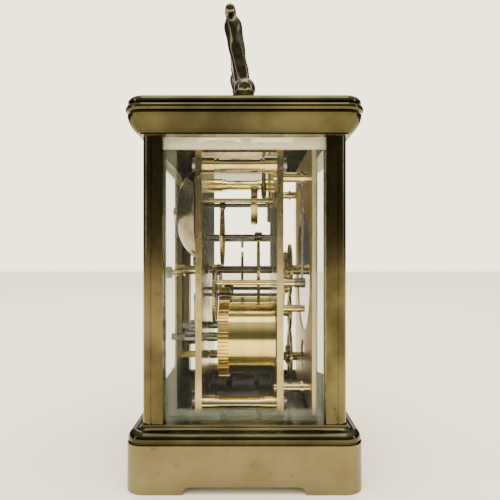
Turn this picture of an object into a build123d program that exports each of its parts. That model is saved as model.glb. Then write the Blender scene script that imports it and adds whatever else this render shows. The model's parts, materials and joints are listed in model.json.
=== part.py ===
from build123d import *
import math
import os

# Carriage alarm clock, in millimetres, +Z up, dial towards -Y, winding side towards +Y.
# The origin is the middle of the base on the surface that it stands on.

# driving sizes of the case
base_height = 18.2
case_height = 120.8
cornice_overhang = 0.55
body_width = 74.6
body_depth = 63.6
base_reach = 4.55
corner_radius = 5.8
plinth_height = 14.7
quirk_depth = 0.5
base_wall = 3.5
base_floor = 2.4
sill_height = 1.5
foot_height = 2.4
foot_ogee = 2.4
side_arch_width = 37.5
front_arch_width = 48.5
cornice_height = 11.4
post_size = 6.5
post_round = 2.4
groove_width = 0.5
glass_thickness = 2.0
glass_bevel = 3.8
glass_slot_depth = 1.6
fit_clearance = 0.1
running_clearance = 0.05
door_clearance = 0.4

# levels and half sizes worked out from them
base_width = body_width + 2 * base_reach
base_depth = body_depth + 2 * base_reach
body_x = body_width / 2
body_y = body_depth / 2
sill_top = base_height + sill_height
floor_top = base_height - 0.4
floor_bottom = floor_top - base_floor
cornice_bottom = case_height - cornice_height
post_inner_x = body_x - post_size
post_inner_y = body_y - post_size

# driving sizes of the movement
plate_side_gap = 7.8
plate_thickness = 2.1
plate_gap = 24.5
back_plate_inner = 14.0
plate_corner = 2.0
pillar_radius = 2.5
pillar_edge_gap = 4.5
platform_width = 30.0
platform_thickness = 1.6
dial_gap = 9.3
dial_post_radius = 1.55
mask_thickness = 1.2
main_dial_z = 66.5
main_dial_radius = 24.0
alarm_dial_z = 34.2
alarm_dial_radius = 6.6
arbor_radius = 0.8
pivot_radius = 0.55

# levels along Y worked out from them
plate_width = body_width - 2 * plate_side_gap
back_plate_outer = back_plate_inner + plate_thickness
front_plate_inner = back_plate_inner - plate_gap
front_plate_outer = front_plate_inner - plate_thickness
mask_back = front_plate_outer - dial_gap
mask_front = mask_back - mask_thickness
plate_top = cornice_bottom - 0.8
plate_bottom = floor_top
pillar_x = plate_width / 2 - pillar_edge_gap
pillar_z_low = plate_bottom + pillar_edge_gap + 0.3
pillar_z_high = plate_top - pillar_edge_gap - 1.8

# wheels: tooth counts and modules
barrel_teeth = 66
second_pinion_teeth = 12
second_teeth = 60
centre_pinion_teeth = 10
centre_teeth = 64
third_pinion_teeth = 8
third_teeth = 60
contrate_pinion_teeth = 8
contrate_teeth = 63
cannon_teeth = 14
minute_teeth = 42
minute_pinion_teeth = 12
hour_teeth = 48
alarm_wheel_teeth = 60
alarm_idler_teeth = 41
alarm_scape_teeth = 15
barrel_module = 0.4
train_module = 0.36
motion_module = 0.3
hour_module = 0.28
alarm_module = 0.32
tooth_addendum = 0.75
tooth_dedendum = 1.1

parts = {}


def box(x0, x1, y0, y1, z0, z1):
    """A block between two corners."""
    block = Box(x1 - x0, y1 - y0, z1 - z0)
    return Pos((x0 + x1) / 2, (y0 + y1) / 2, (z0 + z1) / 2) * block


def rod_x(radius, x0, x1, y, z):
    """A round bar along X."""
    return Pos((x0 + x1) / 2, y, z) * Rot(0, 90, 0) * Cylinder(radius, abs(x1 - x0))


def rod_y(radius, y0, y1, x, z):
    """A round bar along Y."""
    return Pos(x, (y0 + y1) / 2, z) * Rot(90, 0, 0) * Cylinder(radius, abs(y1 - y0))


def rod_z(radius, z0, z1, x, y):
    """A round bar along Z."""
    return Pos(x, y, (z0 + z1) / 2) * Cylinder(radius, abs(z1 - z0))


def ring_y(outer, inner, y0, y1, x, z):
    """A round collar along Y."""
    return rod_y(outer, y0, y1, x, z) - rod_y(inner, y0 - 1, y1 + 1, x, z)


def moulding(profile, width, depth, radius):
    """A solid with a rounded rectangle plan, whose edge follows a profile.

    The profile is a list of runs of (inset, height) points from the top down: two points are
    a straight run, and three are an arc. Straight sides are extruded, and corners revolved."""
    reach_x = width / 2 - radius
    reach_y = depth / 2 - radius
    top = profile[0][0][1]
    bottom = profile[-1][-1][1]

    def section():
        edges = []
        for run in profile:
            points = [(radius - inset, height) for inset, height in run]
            edges.append(Line(*points) if len(points) == 2 else ThreePointArc(*points))
        first = edges[0] @ 0
        last = edges[-1] @ 1
        edges.append(Line(last, (0, bottom)))
        edges.append(Line((0, bottom), (0, top)))
        edges.append(Line((0, top), first))
        return make_face(Plane.XZ * Curve(edges))

    middle = extrude(Plane.XY * Rectangle(2 * reach_x, 2 * reach_y), amount=top - bottom)
    whole = Pos(0, 0, bottom) * middle
    for quarter in range(4):
        reach = (reach_x, reach_y)[quarter % 2]
        half_length = (reach_y, reach_x)[quarter % 2]
        turn = Rot(0, 0, 90 * quarter)
        whole += turn * Pos(reach, 0, 0) * extrude(section(), amount=half_length, both=True)
    for sx, sy, turned in ((1, 1, 0), (-1, 1, 90), (-1, -1, 180), (1, -1, 270)):
        corner = revolve(section(), Axis.Z, 90)
        whole += Pos(sx * reach_x, sy * reach_y, 0) * Rot(0, 0, turned) * corner
    return whole


def tooth_outline(teeth, module, phase):
    """A wheel's outline of narrow straight sided teeth, with its first tooth at the phase angle."""
    pitch_radius = teeth * module / 2
    tip = pitch_radius + module * tooth_addendum
    root = pitch_radius - module * tooth_dedendum
    pitch_angle = 2 * math.pi / teeth
    points = []
    for k in range(teeth):
        middle = phase + k * pitch_angle
        for radius, part in ((root, -0.24), (tip, -0.09), (tip, 0.09), (root, 0.24)):
            angle = middle + part * pitch_angle
            points.append((radius * math.cos(angle), radius * math.sin(angle)))
    return make_face(Polyline(*points, close=True))


def gear(teeth, module, phase, x, z, y0, y1, bore, spokes=0):
    """A toothed wheel on an axis along Y. Angles are measured from +X towards +Z."""
    face = tooth_outline(teeth, module, phase)
    root = teeth * module / 2 - module * tooth_dedendum
    rim = root - 1.1
    hub = bore + 1.3
    if spokes:
        face -= Circle(rim) - Circle(hub)
        for k in range(spokes):
            arm = Pos((rim + hub) / 2, 0) * Rectangle(rim - hub + 0.8, 1.1)
            face += Rot(0, 0, k * 360 / spokes) * arm
    face -= Circle(bore)
    wheel = extrude(Plane.XZ * face, amount=y1 - y0)
    return Pos(x, y1, z) * wheel


def mesh_phase(centre, teeth, phase, next_centre, next_teeth):
    """The phase that puts a wheel's gap on the tooth of the wheel that drives it."""
    way = math.atan2(next_centre[1] - centre[1], next_centre[0] - centre[0])
    pitch = 2 * math.pi / teeth
    off = math.remainder(phase - way, pitch)
    return way + math.pi + math.pi / next_teeth - off * teeth / next_teeth


def save(name, *solids):
    """Keeps a named sub-part, as one solid or as a group of separate solids."""
    parts[name] = solids[0] if len(solids) == 1 else Compound(children=list(solids))


def glass_pane(width, height, thickness, bevel, depth):
    """A pane with a straight back part, and a front part that narrows to the bevel."""
    back = Pos(0, depth / 2, 0) * Box(width, thickness - depth, height)
    wide = Plane.XZ.offset(thickness / 2 - depth) * Rectangle(width, height)
    small = Plane.XZ.offset(thickness / 2) * Rectangle(width - 2 * bevel, height - 2 * bevel)
    return back + loft([wide, small])


# case
screw_radius = 1.2
screw_head_radius = 2.2
screw_head_height = 1.3
bevel_depth = 0.7
cavity_top = case_height - 3.5
glass_inset = 4.2
side_glass_inner = body_x - glass_inset
front_glass_inner = body_y - glass_inset
cavity_x = side_glass_inner - fit_clearance
cavity_y = front_glass_inner - fit_clearance
window_margin_x = 15.3
window_margin_y = 12.8
window_x = body_x - window_margin_x
window_y = body_y - window_margin_y
window_ledge = 2.0
top_glass_bottom = case_height - 2.6
post_x = body_x - post_size / 2
post_y = body_y - post_size / 2
ball_radius = 3.44
ball_inset = 6.3
ball_x = body_x - ball_inset
ball_z = case_height + 4.9
pivot_pin_radius = 1.1
nut_height = 1.7
nut_radius = 1.95
tenon_length = 4.0


def four_corners(x, y):
    """The four places that mirror each other about both middle planes."""
    return [(sx * x, sy * y) for sx in (-1, 1) for sy in (-1, 1)]


def foot_cut(width, length, along_x):
    """The low arch between two bracket feet, with a quarter round at each end."""
    flat = width / 2 - foot_ogee
    outline = Polyline((-width / 2, -1), (-width / 2, 0), (width / 2, 0), (width / 2, -1), close=True)
    face = make_face(outline)
    top = Pos(0, foot_height / 2) * Rectangle(2 * flat, foot_height)
    face += top
    for side in (-1, 1):
        face += Pos(side * flat, 0) * Circle(foot_height)
    cut = extrude(Plane.XZ * face, amount=length / 2, both=True)
    return cut if along_x else Rot(0, 0, 90) * cut


def make_base():
    """The hollow moulded base: plinth with bracket feet, torus, hollow moulding and sill."""
    inset = base_reach - 0.35
    profile = [
        [(inset, sill_top), (inset, sill_top - 0.5)],
        [(inset, sill_top - 0.5), (inset - 0.55, base_height + 0.32), (1.9, base_height)],
        [(1.9, base_height), (0.5, base_height - 1.1), (quirk_depth, plinth_height + 0.4)],
        [(quirk_depth, plinth_height + 0.4), (quirk_depth, plinth_height)],
        [(quirk_depth, plinth_height), (0, plinth_height)],
        [(0, plinth_height), (0, 0)],
    ]
    base = moulding(profile, base_width, base_depth, corner_radius)
    hollow = extrude(
        RectangleRounded(base_width - 2 * base_wall, base_depth - 2 * base_wall, corner_radius - 2),
        amount=floor_bottom,
    )
    base -= hollow
    base -= box(-cavity_x, cavity_x, -cavity_y, cavity_y, floor_top, sill_top + 1)
    base -= foot_cut(front_arch_width, base_depth + 2, True)
    base -= foot_cut(side_arch_width, base_width + 2, False)
    for x, y in four_corners(post_x, post_y):
        base -= rod_z(screw_radius + fit_clearance, 0, sill_top + 1, x, y)
    for x, y in movement_screw_places():
        base -= rod_z(screw_radius + fit_clearance, 0, sill_top + 1, x, y)
    base -= rod_z(hinge_pin_radius + running_clearance, sill_top - hinge_pin_depth, 30, hinge_x, hinge_y)
    return base


def make_posts():
    """Four square corner posts with a round outer edge, grooves and slots for the glass."""
    posts = []
    for sx, sy in four_corners(1, 1):
        section = Rectangle(post_size, post_size)
        outer = section.vertices().sort_by(lambda v: -(v.X * sx + v.Y * sy))[0]
        section = fillet(outer, post_round)
        groove = post_size / 2 - 2.95
        section -= Pos(sx * groove, sy * post_size / 2) * Rectangle(groove_width, 2 * groove_width)
        section -= Pos(sx * post_size / 2, sy * groove) * Rectangle(2 * groove_width, groove_width)
        post = Pos(sx * post_x, sy * post_y, sill_top) * extrude(section, amount=cornice_bottom - sill_top)
        slot_inner = side_glass_inner - fit_clearance
        slot_outer = side_glass_inner + glass_thickness + fit_clearance
        slot_end = sy * (post_inner_y + glass_slot_depth)
        ends = sorted((sx * slot_inner, sx * slot_outer))
        reach = sorted((sy * (post_inner_y - 1), slot_end))
        post -= box(*ends, *reach, sill_top - 1, case_height)
        if sy < 0:
            ends = sorted((sx * (post_inner_x - 1), sx * (post_inner_x + glass_slot_depth)))
            inner = -front_glass_inner + fit_clearance
            outer_face = -front_glass_inner - glass_thickness - fit_clearance
            post -= box(*ends, outer_face, inner, sill_top - 1, case_height)
        post -= rod_z(screw_radius, sill_top - 1, sill_top + 8, sx * post_x, sy * post_y)
        post += rod_z(screw_radius, cornice_bottom - 0.1, cornice_bottom + tenon_length, sx * post_x, sy * post_y)
        posts.append(post)
    return posts


def make_cornice():
    """The moulded top, hollow below, with a window for the escapement and a rebate for its glass."""
    top = case_height
    low = cornice_bottom
    profile = [
        [(3.1, top), (1.4, top - 0.45), (0.7, top - 1.4)],
        [(0.7, top - 1.4), (0.6, top - 2.1)],
        [(0.6, top - 2.1), (1.1, top - 2.4)],
        [(1.1, top - 2.4), (0.45, top - 2.8)],
        [(0.45, top - 2.8), (0, top - 3.7), (0.4, top - 4.7)],
        [(0.4, top - 4.7), (0.95, top - 5.0)],
        [(0.95, top - 5.0), (0.5, top - 5.6)],
        [(0.5, top - 5.6), (1.7, low + 2.6), (3.7, low + 0.4)],
        [(3.7, low + 0.4), (4.3, low + 0.4)],
        [(4.3, low + 0.4), (4.3, low)],
    ]
    cornice = moulding(
        profile, base_width + 2 * cornice_overhang, base_depth + 2 * cornice_overhang,
        corner_radius + cornice_overhang,
    )
    cornice -= box(-cavity_x, cavity_x, -cavity_y, cavity_y, low - 1, cavity_top)
    cornice -= box(-window_x, window_x, -window_y, window_y, cavity_top - 1, top + 1)
    rebate_x = window_x + window_ledge
    rebate_y = window_y + window_ledge
    cornice -= box(-rebate_x, rebate_x, -rebate_y, rebate_y, top_glass_bottom, top + 1)
    for x, y in four_corners(post_x, post_y):
        cornice -= rod_z(screw_radius + fit_clearance, low - 1, low + tenon_length + 0.2, x, y)
    for x in (-ball_x, ball_x):
        cornice -= rod_z(screw_radius + fit_clearance, low, top + 1, x, 0)
    cornice -= rod_z(hinge_pin_radius + running_clearance, low - 1, low + hinge_pin_depth, hinge_x, hinge_y)
    return cornice


def make_side_glass(side):
    """A bevelled side pane in the slots of two posts."""
    width = 2 * (post_inner_y + glass_slot_depth - fit_clearance)
    height = cornice_bottom - sill_top - 0.1
    pane = glass_pane(width, height, glass_thickness, glass_bevel + glass_slot_depth, bevel_depth)
    x = side_glass_inner + glass_thickness / 2
    return Pos(side * x, 0, sill_top + height / 2) * Rot(0, 0, 90 * side) * pane


def make_front_glass():
    """The bevelled front pane."""
    width = 2 * (post_inner_x + glass_slot_depth - fit_clearance)
    height = cornice_bottom - sill_top - 0.1
    pane = glass_pane(width, height, glass_thickness, glass_bevel + glass_slot_depth, bevel_depth)
    return Pos(0, -front_glass_inner - glass_thickness / 2, sill_top + height / 2) * pane


def make_top_glass():
    """The bevelled top pane over the escapement."""
    width = 2 * (window_x + window_ledge - fit_clearance)
    depth = 2 * (window_y + window_ledge - fit_clearance)
    pane = glass_pane(width, depth, glass_thickness, glass_bevel, bevel_depth)
    return Pos(0, 0, top_glass_bottom + glass_thickness / 2) * Rot(-90, 0, 0) * pane


# rear door
hinge_pin_radius = 0.7
hinge_pin_depth = 1.1
door_half = post_inner_x - door_clearance
door_thickness = 2.8
door_inset = 2.3
hinge_y = body_y - door_inset
hinge_x = -door_half + door_thickness / 2
door_bottom = sill_top + door_clearance
door_top = cornice_bottom - door_clearance
door_rail = 4.2
door_lip = 0.8
rebate_width = 1.6
knob_radius = 2.65
knob_x = door_half - 2.4
knob_z = (door_bottom + door_top) / 2
knob_length = 4.6
knob_neck_radius = 1.3
knob_tenon = 0.7


def door_opening(inset, y0, y1):
    """A block that is the door's outline less an inset."""
    return box(
        -door_half + inset, door_half - inset, y0, y1, door_bottom + inset, door_top - inset
    )


def make_door_frame():
    """The rear door's frame, half round at its hinge edge, with a rebate inside for the glass."""
    inner = hinge_y - door_thickness / 2
    outer = hinge_y + door_thickness / 2
    frame = box(hinge_x, door_half, inner, outer, door_bottom, door_top)
    frame += rod_z(door_thickness / 2, door_bottom, door_top, hinge_x, hinge_y)
    frame -= door_opening(door_rail, inner - 1, outer + 1)
    frame -= door_opening(door_rail - rebate_width, inner - 1, outer - door_lip)
    for z in (door_bottom, door_top):
        frame -= rod_z(hinge_pin_radius, z - 4, z + 4, hinge_x, hinge_y)
    frame -= rod_y(knob_neck_radius, outer - knob_tenon, outer + 1, knob_x, knob_z)
    return frame


def make_door_glass():
    """The rear door's bevelled pane, its bevel towards the back."""
    size_x = 2 * (door_half - door_rail + rebate_width - fit_clearance)
    size_z = door_top - door_bottom - 2 * (door_rail - rebate_width + fit_clearance)
    thickness = door_thickness - door_lip - 0.1
    pane = glass_pane(size_x, size_z, thickness, rebate_width + glass_bevel, bevel_depth)
    middle = hinge_y + door_thickness / 2 - door_lip - thickness / 2
    return Pos(0, middle, (door_bottom + door_top) / 2) * Rot(0, 0, 180) * pane


def make_hinge_pins():
    """Two pins that join the door to the sill and to the cornice."""
    low = rod_z(hinge_pin_radius, sill_top - hinge_pin_depth + 0.1, door_bottom + 4, hinge_x, hinge_y)
    high = rod_z(hinge_pin_radius, door_top - 4, cornice_bottom + hinge_pin_depth - 0.1, hinge_x, hinge_y)
    return low, high


def make_door_knob():
    """A small round knob with a neck in the door's stile."""
    face = hinge_y + door_thickness / 2
    knob = rod_y(knob_neck_radius, face - knob_tenon, face + 2, knob_x, knob_z)
    head = rod_y(knob_radius, face + 1.6, face + knob_length, knob_x, knob_z)
    head = fillet(head.edges().filter_by(GeomType.CIRCLE), 0.9)
    return knob + head


# handle
arm_x = ball_x - 5.3
arm_eye_radius = 2.5
arm_eye_width = 3.0
arm_start = 2.2
arm_end = 25.9
arm_lobes = 4
arm_radius_low = 1.3
arm_swell = 0.45
arm_radius_high = 2.75
lobe_depth = 0.22
grip_distance = 27.5
grip_radius = 1.65
grip_reach = arm_x + 3.9
handle_lean = 10.0


def lean(shape):
    """Turns a piece of the handle about its pivots from upright to its place at rest."""
    pivot = (0, 0, ball_z)
    return Pos(*pivot) * Rot(-handle_lean, 0, 0) * Pos(0, 0, -ball_z) * shape


def make_handle_arm(side):
    """A tapered wrythen arm: a row of swelling lobes above a flat eye."""
    edges = []
    step = (arm_end - arm_start) / arm_lobes
    for k in range(arm_lobes):
        points = []
        for part in (0, 0.5, 1):
            share = ((k + part) / arm_lobes) ** arm_swell
            radius = arm_radius_low + (arm_radius_high - arm_radius_low) * share
            swell = lobe_depth if part == 0.5 else -lobe_depth
            points.append((radius + swell, arm_start + (k + part) * step))
        edges.append(ThreePointArc(*points))
    first = edges[0] @ 0
    last = edges[-1] @ 1
    edges.append(Line(last, (0, arm_end)))
    edges.append(Line((0, arm_end), (0, arm_start)))
    edges.append(Line((0, arm_start), first))
    arm = revolve(make_face(Plane.XZ * Curve(edges)), Axis.Z)
    arm += rod_x(arm_eye_radius, -arm_eye_width / 2, arm_eye_width / 2, 0, 0)
    arm += Pos(0, 0, grip_distance) * Sphere(arm_radius_high + 0.15)
    arm -= rod_x(grip_radius + 0.02, -9, 9, 0, grip_distance)
    arm -= rod_x(pivot_pin_radius + running_clearance, -9, 9, 0, 0)
    arm -= box(-9, -arm_eye_width / 2, -9, 9, -9, arm_eye_radius + 1.5)
    arm -= box(arm_eye_width / 2, 9, -9, 9, -9, arm_eye_radius + 1.5)
    return lean(Pos(side * arm_x, 0, ball_z) * arm)


def make_grip():
    """The round bar of the handle, with domed ends outside its arms."""
    bar = rod_x(grip_radius, -grip_reach, grip_reach, 0, ball_z + grip_distance)
    bar = fillet(bar.edges().filter_by(GeomType.CIRCLE), 1.0)
    return lean(bar)


def make_handle_post(side):
    """A ball on a turned foot, with a tail through the top plate."""
    x = side * ball_x
    post = Pos(x, 0, ball_z) * Sphere(ball_radius)
    post += rod_z(1.7, case_height, ball_z, x, 0)
    foot = rod_z(3.0, case_height, case_height + 1.1, x, 0)
    post += fillet(foot.edges().filter_by(GeomType.CIRCLE).sort_by(Axis.Z)[-1], 0.5)
    post += rod_z(screw_radius, cavity_top - nut_height, case_height + 1, x, 0)
    post -= rod_x(pivot_pin_radius + 0.01, x - 6, x + 6, 0, ball_z)
    return post


def make_pivot_pin(side):
    """The pin that an arm's eye turns on, with a domed head outside the ball."""
    inner = arm_x - arm_eye_width / 2 - 0.1
    ends = sorted((side * inner, side * (ball_x + ball_radius + 0.2)))
    pin = rod_x(pivot_pin_radius, *ends, 0, ball_z)
    head_start = arm_x - arm_eye_width / 2 - running_clearance
    ends = sorted((side * (head_start - 0.7), side * head_start))
    return pin + rod_x(pivot_pin_radius + 0.7, *ends, 0, ball_z)


def make_hex_nut(side):
    """A hexagon nut under the top plate."""
    nut = Rot(0, 0, 30) * extrude(RegularPolygon(nut_radius, 6) - Circle(screw_radius + 0.01), amount=nut_height)
    return Pos(side * ball_x, 0, cavity_top - nut_height) * nut


def movement_screw_places():
    """Where the screws that hold the movement down come up through the base's floor."""
    return [(sx * pillar_x, y) for sx in (-1, 1) for y in (-4.7, 7.3)]


def make_case():
    """Keeps every piece of the case."""
    save("base", make_base())
    save("corner_posts", *make_posts())
    save("cornice", make_cornice())
    save("side_glasses", make_side_glass(-1), make_side_glass(1))
    save("front_glass", make_front_glass())
    save("top_glass", make_top_glass())
    save("rear_door_frame", make_door_frame())
    save("rear_door_glass", make_door_glass())
    save("rear_door_knob", make_door_knob())
    save("rear_door_hinge_pins", *make_hinge_pins())
    save("handle_arms", make_handle_arm(-1), make_handle_arm(1))
    save("handle_grip", make_grip())
    sides = (-1, 1)
    posts = [make_handle_post(side) for side in sides]
    save("handle_posts", *posts, *[make_hex_nut(side) for side in sides])
    save("handle_pivot_pins", make_pivot_pin(-1), make_pivot_pin(1))
    screws = []
    for x, y in four_corners(post_x, post_y):
        shank = rod_z(screw_radius, floor_bottom - 0.1, sill_top + 7, x, y)
        screws.append(shank + rod_z(screw_head_radius, floor_bottom - screw_head_height, floor_bottom, x, y))
    save("base_screws", *screws, *make_movement_screws())


# places of the arbors, as (x, z), worked out from the tooth counts
def mesh_distance(teeth_a, teeth_b, module):
    """The distance between the centres of two meshed wheels."""
    return (teeth_a + teeth_b) * module / 2


def beside(centre, distance, degrees):
    """A place at a distance from another, at an angle from +X towards +Z."""
    angle = math.radians(degrees)
    return (centre[0] + distance * math.cos(angle), centre[1] + distance * math.sin(angle))


def meet(a, reach_a, b, reach_b, side):
    """The place at one distance from a and another from b, on the given side of the line a to b."""
    gap = math.dist(a, b)
    along = (reach_a**2 - reach_b**2 + gap**2) / (2 * gap)
    off = side * math.sqrt(reach_a**2 - along**2)
    ux = (b[0] - a[0]) / gap
    uz = (b[1] - a[1]) / gap
    return (a[0] + along * ux - off * uz, a[1] + along * uz + off * ux)


barrel_x = 15.0
barrel_z = 43.3
centre_place = (0.0, main_dial_z)
alarm_place = (0.0, alarm_dial_z)
going_place = (-barrel_x, barrel_z)
alarm_barrel_place = (barrel_x, barrel_z)
second_place = meet(
    going_place,
    mesh_distance(barrel_teeth, second_pinion_teeth, barrel_module),
    centre_place,
    mesh_distance(second_teeth, centre_pinion_teeth, train_module),
    1,
)
third_place = beside(centre_place, mesh_distance(centre_teeth, third_pinion_teeth, train_module), 101)
contrate_reach = mesh_distance(third_teeth, contrate_pinion_teeth, train_module)
contrate_place = (0.0, third_place[1] + math.sqrt(contrate_reach**2 - third_place[0] ** 2))
minute_place = beside(centre_place, mesh_distance(cannon_teeth, minute_teeth, motion_module), 233)
idler_place = meet(
    alarm_place,
    mesh_distance(alarm_wheel_teeth, alarm_idler_teeth, alarm_module),
    centre_place,
    mesh_distance(alarm_wheel_teeth, alarm_idler_teeth, alarm_module),
    -1,
)
alarm_second_place = beside(
    alarm_barrel_place, mesh_distance(barrel_teeth, second_pinion_teeth, barrel_module), 71
)
alarm_scape_place = beside(
    alarm_second_place, mesh_distance(second_teeth, third_pinion_teeth, hour_module), 108
)
hammer_place = (17.0, 78.5)
detent_place = (-19.0, 91.0)
release_place = (-13.2, 62.3)
spare_stud_place = (-12.0, 53.0)

# barrels
drum_radius = 12.4
drum_wall = 1.0
drum_front = front_plate_inner + 0.3
drum_back = 5.5
great_wheel_thickness = 3.5
barrel_arbor_radius = 1.6
barrel_pivot_radius = 1.25
winding_square = 2.1
winding_end = 26.0
boss_radius = 2.6
ratchet_teeth = 20
ratchet_radius = 4.4
ratchet_thickness = 1.1
boss_front = back_plate_outer + 1.5

# bell
bell_place = (0.0, 88.0)
bell_radius = 18.0
bell_rim = 18.0
bell_apex = 26.2
bell_wall = 0.9
bell_flat = 3.0
bell_hole = 1.3
bell_post_radius = 1.6


def arbor(place, y0, y1, radius=arbor_radius):
    """An arbor between two shoulders, with thin pivots through both plates."""
    shaft = rod_y(radius, y0, y1, *place)
    return shaft + rod_y(pivot_radius, front_plate_outer, back_plate_outer, *place)


shoulder_front = front_plate_inner + 0.2
shoulder_back = back_plate_inner - 0.2
pivot_places = [
    second_place, third_place, contrate_place, alarm_second_place, alarm_scape_place,
    detent_place, hammer_place,
]


def plate_outline(y0, y1):
    """The upright plate between two levels along Y."""
    half = plate_width / 2
    plate = box(-half, half, y0, y1, plate_bottom, plate_top)
    return fillet(plate.edges().filter_by(Axis.Y), plate_corner)


def make_plate(y0, y1, front):
    """A movement plate with its pivot holes."""
    plate = plate_outline(y0, y1)
    for place in pivot_places:
        plate -= rod_y(pivot_radius + running_clearance, y0 - 1, y1 + 1, *place)
    for place in (going_place, alarm_barrel_place):
        plate -= rod_y(barrel_pivot_radius + running_clearance, y0 - 1, y1 + 1, *place)
    plate -= rod_y(arbor_radius + running_clearance, y0 - 1, y1 + 1, *centre_place)
    plate -= rod_y(arbor_radius + running_clearance, y0 - 1, y1 + 1, *alarm_place)
    for x, z in pillar_places():
        plate -= rod_y(screw_radius + 0.01, y0 - 1, y1 + 1, x, z)
    if front:
        for x, z in dial_post_places():
            plate -= rod_y(screw_radius + 0.01, y0 - 1, y1 + 1, x, z)
        for place in (minute_place, idler_place, release_place, spare_stud_place):
            plate -= rod_y(pivot_radius, y0 - 1, y1 + 1, *place)
    else:
        plate -= rod_y(screw_radius + 0.01, y0 - 1, y1 + 1, *bell_place)
        for sx in (-1, 1):
            plate -= rod_y(pivot_radius, y0 - 1, y1 + 1, *click_place(sx))
    return plate


def pillar_places():
    """The four places of the pillars between the plates."""
    return [(sx * pillar_x, z) for sx in (-1, 1) for z in (pillar_z_low, pillar_z_high)]


def dial_post_places():
    """The four places of the posts between the front plate and the dial mask."""
    return [(sx * pillar_x, z) for sx in (-1, 1) for z in (28.0, 98.0)]


def make_pillars():
    """Four turned pillars with a collar at each end."""
    pillars = []
    for x, z in pillar_places():
        pillar = rod_y(pillar_radius - 0.4, front_plate_inner, back_plate_inner, x, z)
        for y0, y1 in ((front_plate_inner, front_plate_inner + 4), (back_plate_inner - 4, back_plate_inner)):
            pillar += rod_y(pillar_radius + 0.3, y0, y1, x, z)
        for y in (front_plate_inner + 5, back_plate_inner - 5):
            pillar += rod_y(pillar_radius + 0.1, y - 0.4, y + 0.4, x, z)
        pillar -= rod_y(screw_radius, front_plate_inner - 1, front_plate_inner + 3, x, z)
        pillar -= rod_y(screw_radius, back_plate_inner - 3, back_plate_inner + 1, x, z)
        if z == pillar_z_low:
            for place_x, y in movement_screw_places():
                if place_x == x:
                    pillar -= rod_z(screw_radius, z - 4, z, x, y)
        pillars.append(pillar)
    return pillars


def screw_y(x, z, face, into, head_way):
    """A cheese head screw along Y, its head on a face and its shank to the level into."""
    head_end = face + head_way * screw_head_height
    screw = rod_y(screw_head_radius, min(face, head_end), max(face, head_end), x, z)
    screw += rod_y(screw_radius, min(face, into), max(face, into), x, z)
    slot_y = sorted((head_end, head_end - head_way * 0.5))
    return screw - box(x - 3, x + 3, *slot_y, z - 0.25, z + 0.25)


def make_movement_screws():
    """Four screws from below the base's floor into the lower pillars."""
    screws = []
    for x, y in movement_screw_places():
        shank = rod_z(screw_radius, floor_bottom - 0.1, pillar_z_low - 1.5, x, y)
        screws.append(shank + rod_z(screw_head_radius, floor_bottom - screw_head_height, floor_bottom, x, y))
    return screws


def make_dial_posts():
    """Four posts that carry the dial mask, each with a ring near its front end."""
    posts = []
    for x, z in dial_post_places():
        post = rod_y(dial_post_radius, mask_back, front_plate_outer, x, z)
        post += rod_y(dial_post_radius + 0.6, mask_back + 2.6, mask_back + 3.4, x, z)
        post += rod_y(screw_radius, front_plate_outer - 0.1, front_plate_inner + 0.1, x, z)
        post += rod_y(screw_radius + 0.2, front_plate_inner, front_plate_inner + 0.9, x, z)
        post -= rod_y(0.75, mask_back - 1, mask_back + 2, x, z)
        posts.append(post)
    return posts


def make_mask_screws():
    """Four small screws that hold the mask to its posts."""
    screws = []
    for x, z in dial_post_places():
        screw = rod_y(0.74, mask_front, mask_back + 1.9, x, z)
        screws.append(screw + rod_y(1.5, mask_front - 0.7, mask_front, x, z))
    return screws


def make_mask():
    """The gilt mask round both dials."""
    mask = box(-plate_width / 2, plate_width / 2, mask_front, mask_back, sill_top + 0.5, cornice_bottom - 0.6)
    for radius, place in ((main_dial_radius, centre_place), (alarm_dial_radius, alarm_place)):
        mask -= rod_y(radius + fit_clearance, mask_front - 1, mask_back - 0.4, *place)
        mask -= rod_y(radius - 1.0, mask_front - 1, mask_back + 1, *place)
    for x, z in dial_post_places():
        mask -= rod_y(0.8, mask_front - 1, mask_back + 1, x, z)
    return mask


def make_dial(radius, place, hole):
    """An enamel disc, seated in the mask, a little domed at its edge."""
    disc = rod_y(radius, mask_front - 0.35, mask_back - 0.4, *place)
    disc = fillet(disc.edges().sort_by(Axis.Y)[0], 0.3)
    return disc - rod_y(hole, mask_front - 2, mask_back + 1, *place)


def make_barrel(place, phase):
    """A barrel: a thin walled drum with a cap, on its great wheel."""
    wheel = gear(
        barrel_teeth, barrel_module, phase, *place, drum_back, drum_back + great_wheel_thickness,
        barrel_arbor_radius + running_clearance,
    )
    drum = rod_y(drum_radius, drum_front, drum_back, *place)
    drum -= rod_y(drum_radius - drum_wall, drum_front + drum_wall, drum_back + 0.01, *place)
    drum -= rod_y(barrel_arbor_radius + running_clearance, drum_front - 1, drum_back, *place)
    rim = ring_y(drum_radius + 0.35, drum_radius - 0.4, drum_front + 0.2, drum_front + 1.0, *place)
    return drum + wheel + rim


def make_mainspring(place):
    """The wound spring in its barrel: a spiral ribbon, in outline."""
    reach = drum_radius - drum_wall - 0.3
    coil = ring_y(reach, reach - 4.5, drum_front + drum_wall + 0.3, drum_back - 0.3, *place)
    return coil


def make_barrel_arbor(place):
    """A barrel's arbor: shoulders, pivots, and a square behind for the key and the ratchet."""
    shaft = rod_y(barrel_arbor_radius, shoulder_front, shoulder_back, *place)
    shaft += rod_y(barrel_pivot_radius, front_plate_outer, boss_front, *place)
    x, z = place
    half = winding_square / 2
    square = box(x - half, x + half, boss_front - 0.5, winding_end, z - half, z + half)
    shaft += square
    shaft += rod_y(drum_radius * 0.38, drum_front + 2.0, drum_back - 1.0, x, z)
    return shaft


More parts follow.
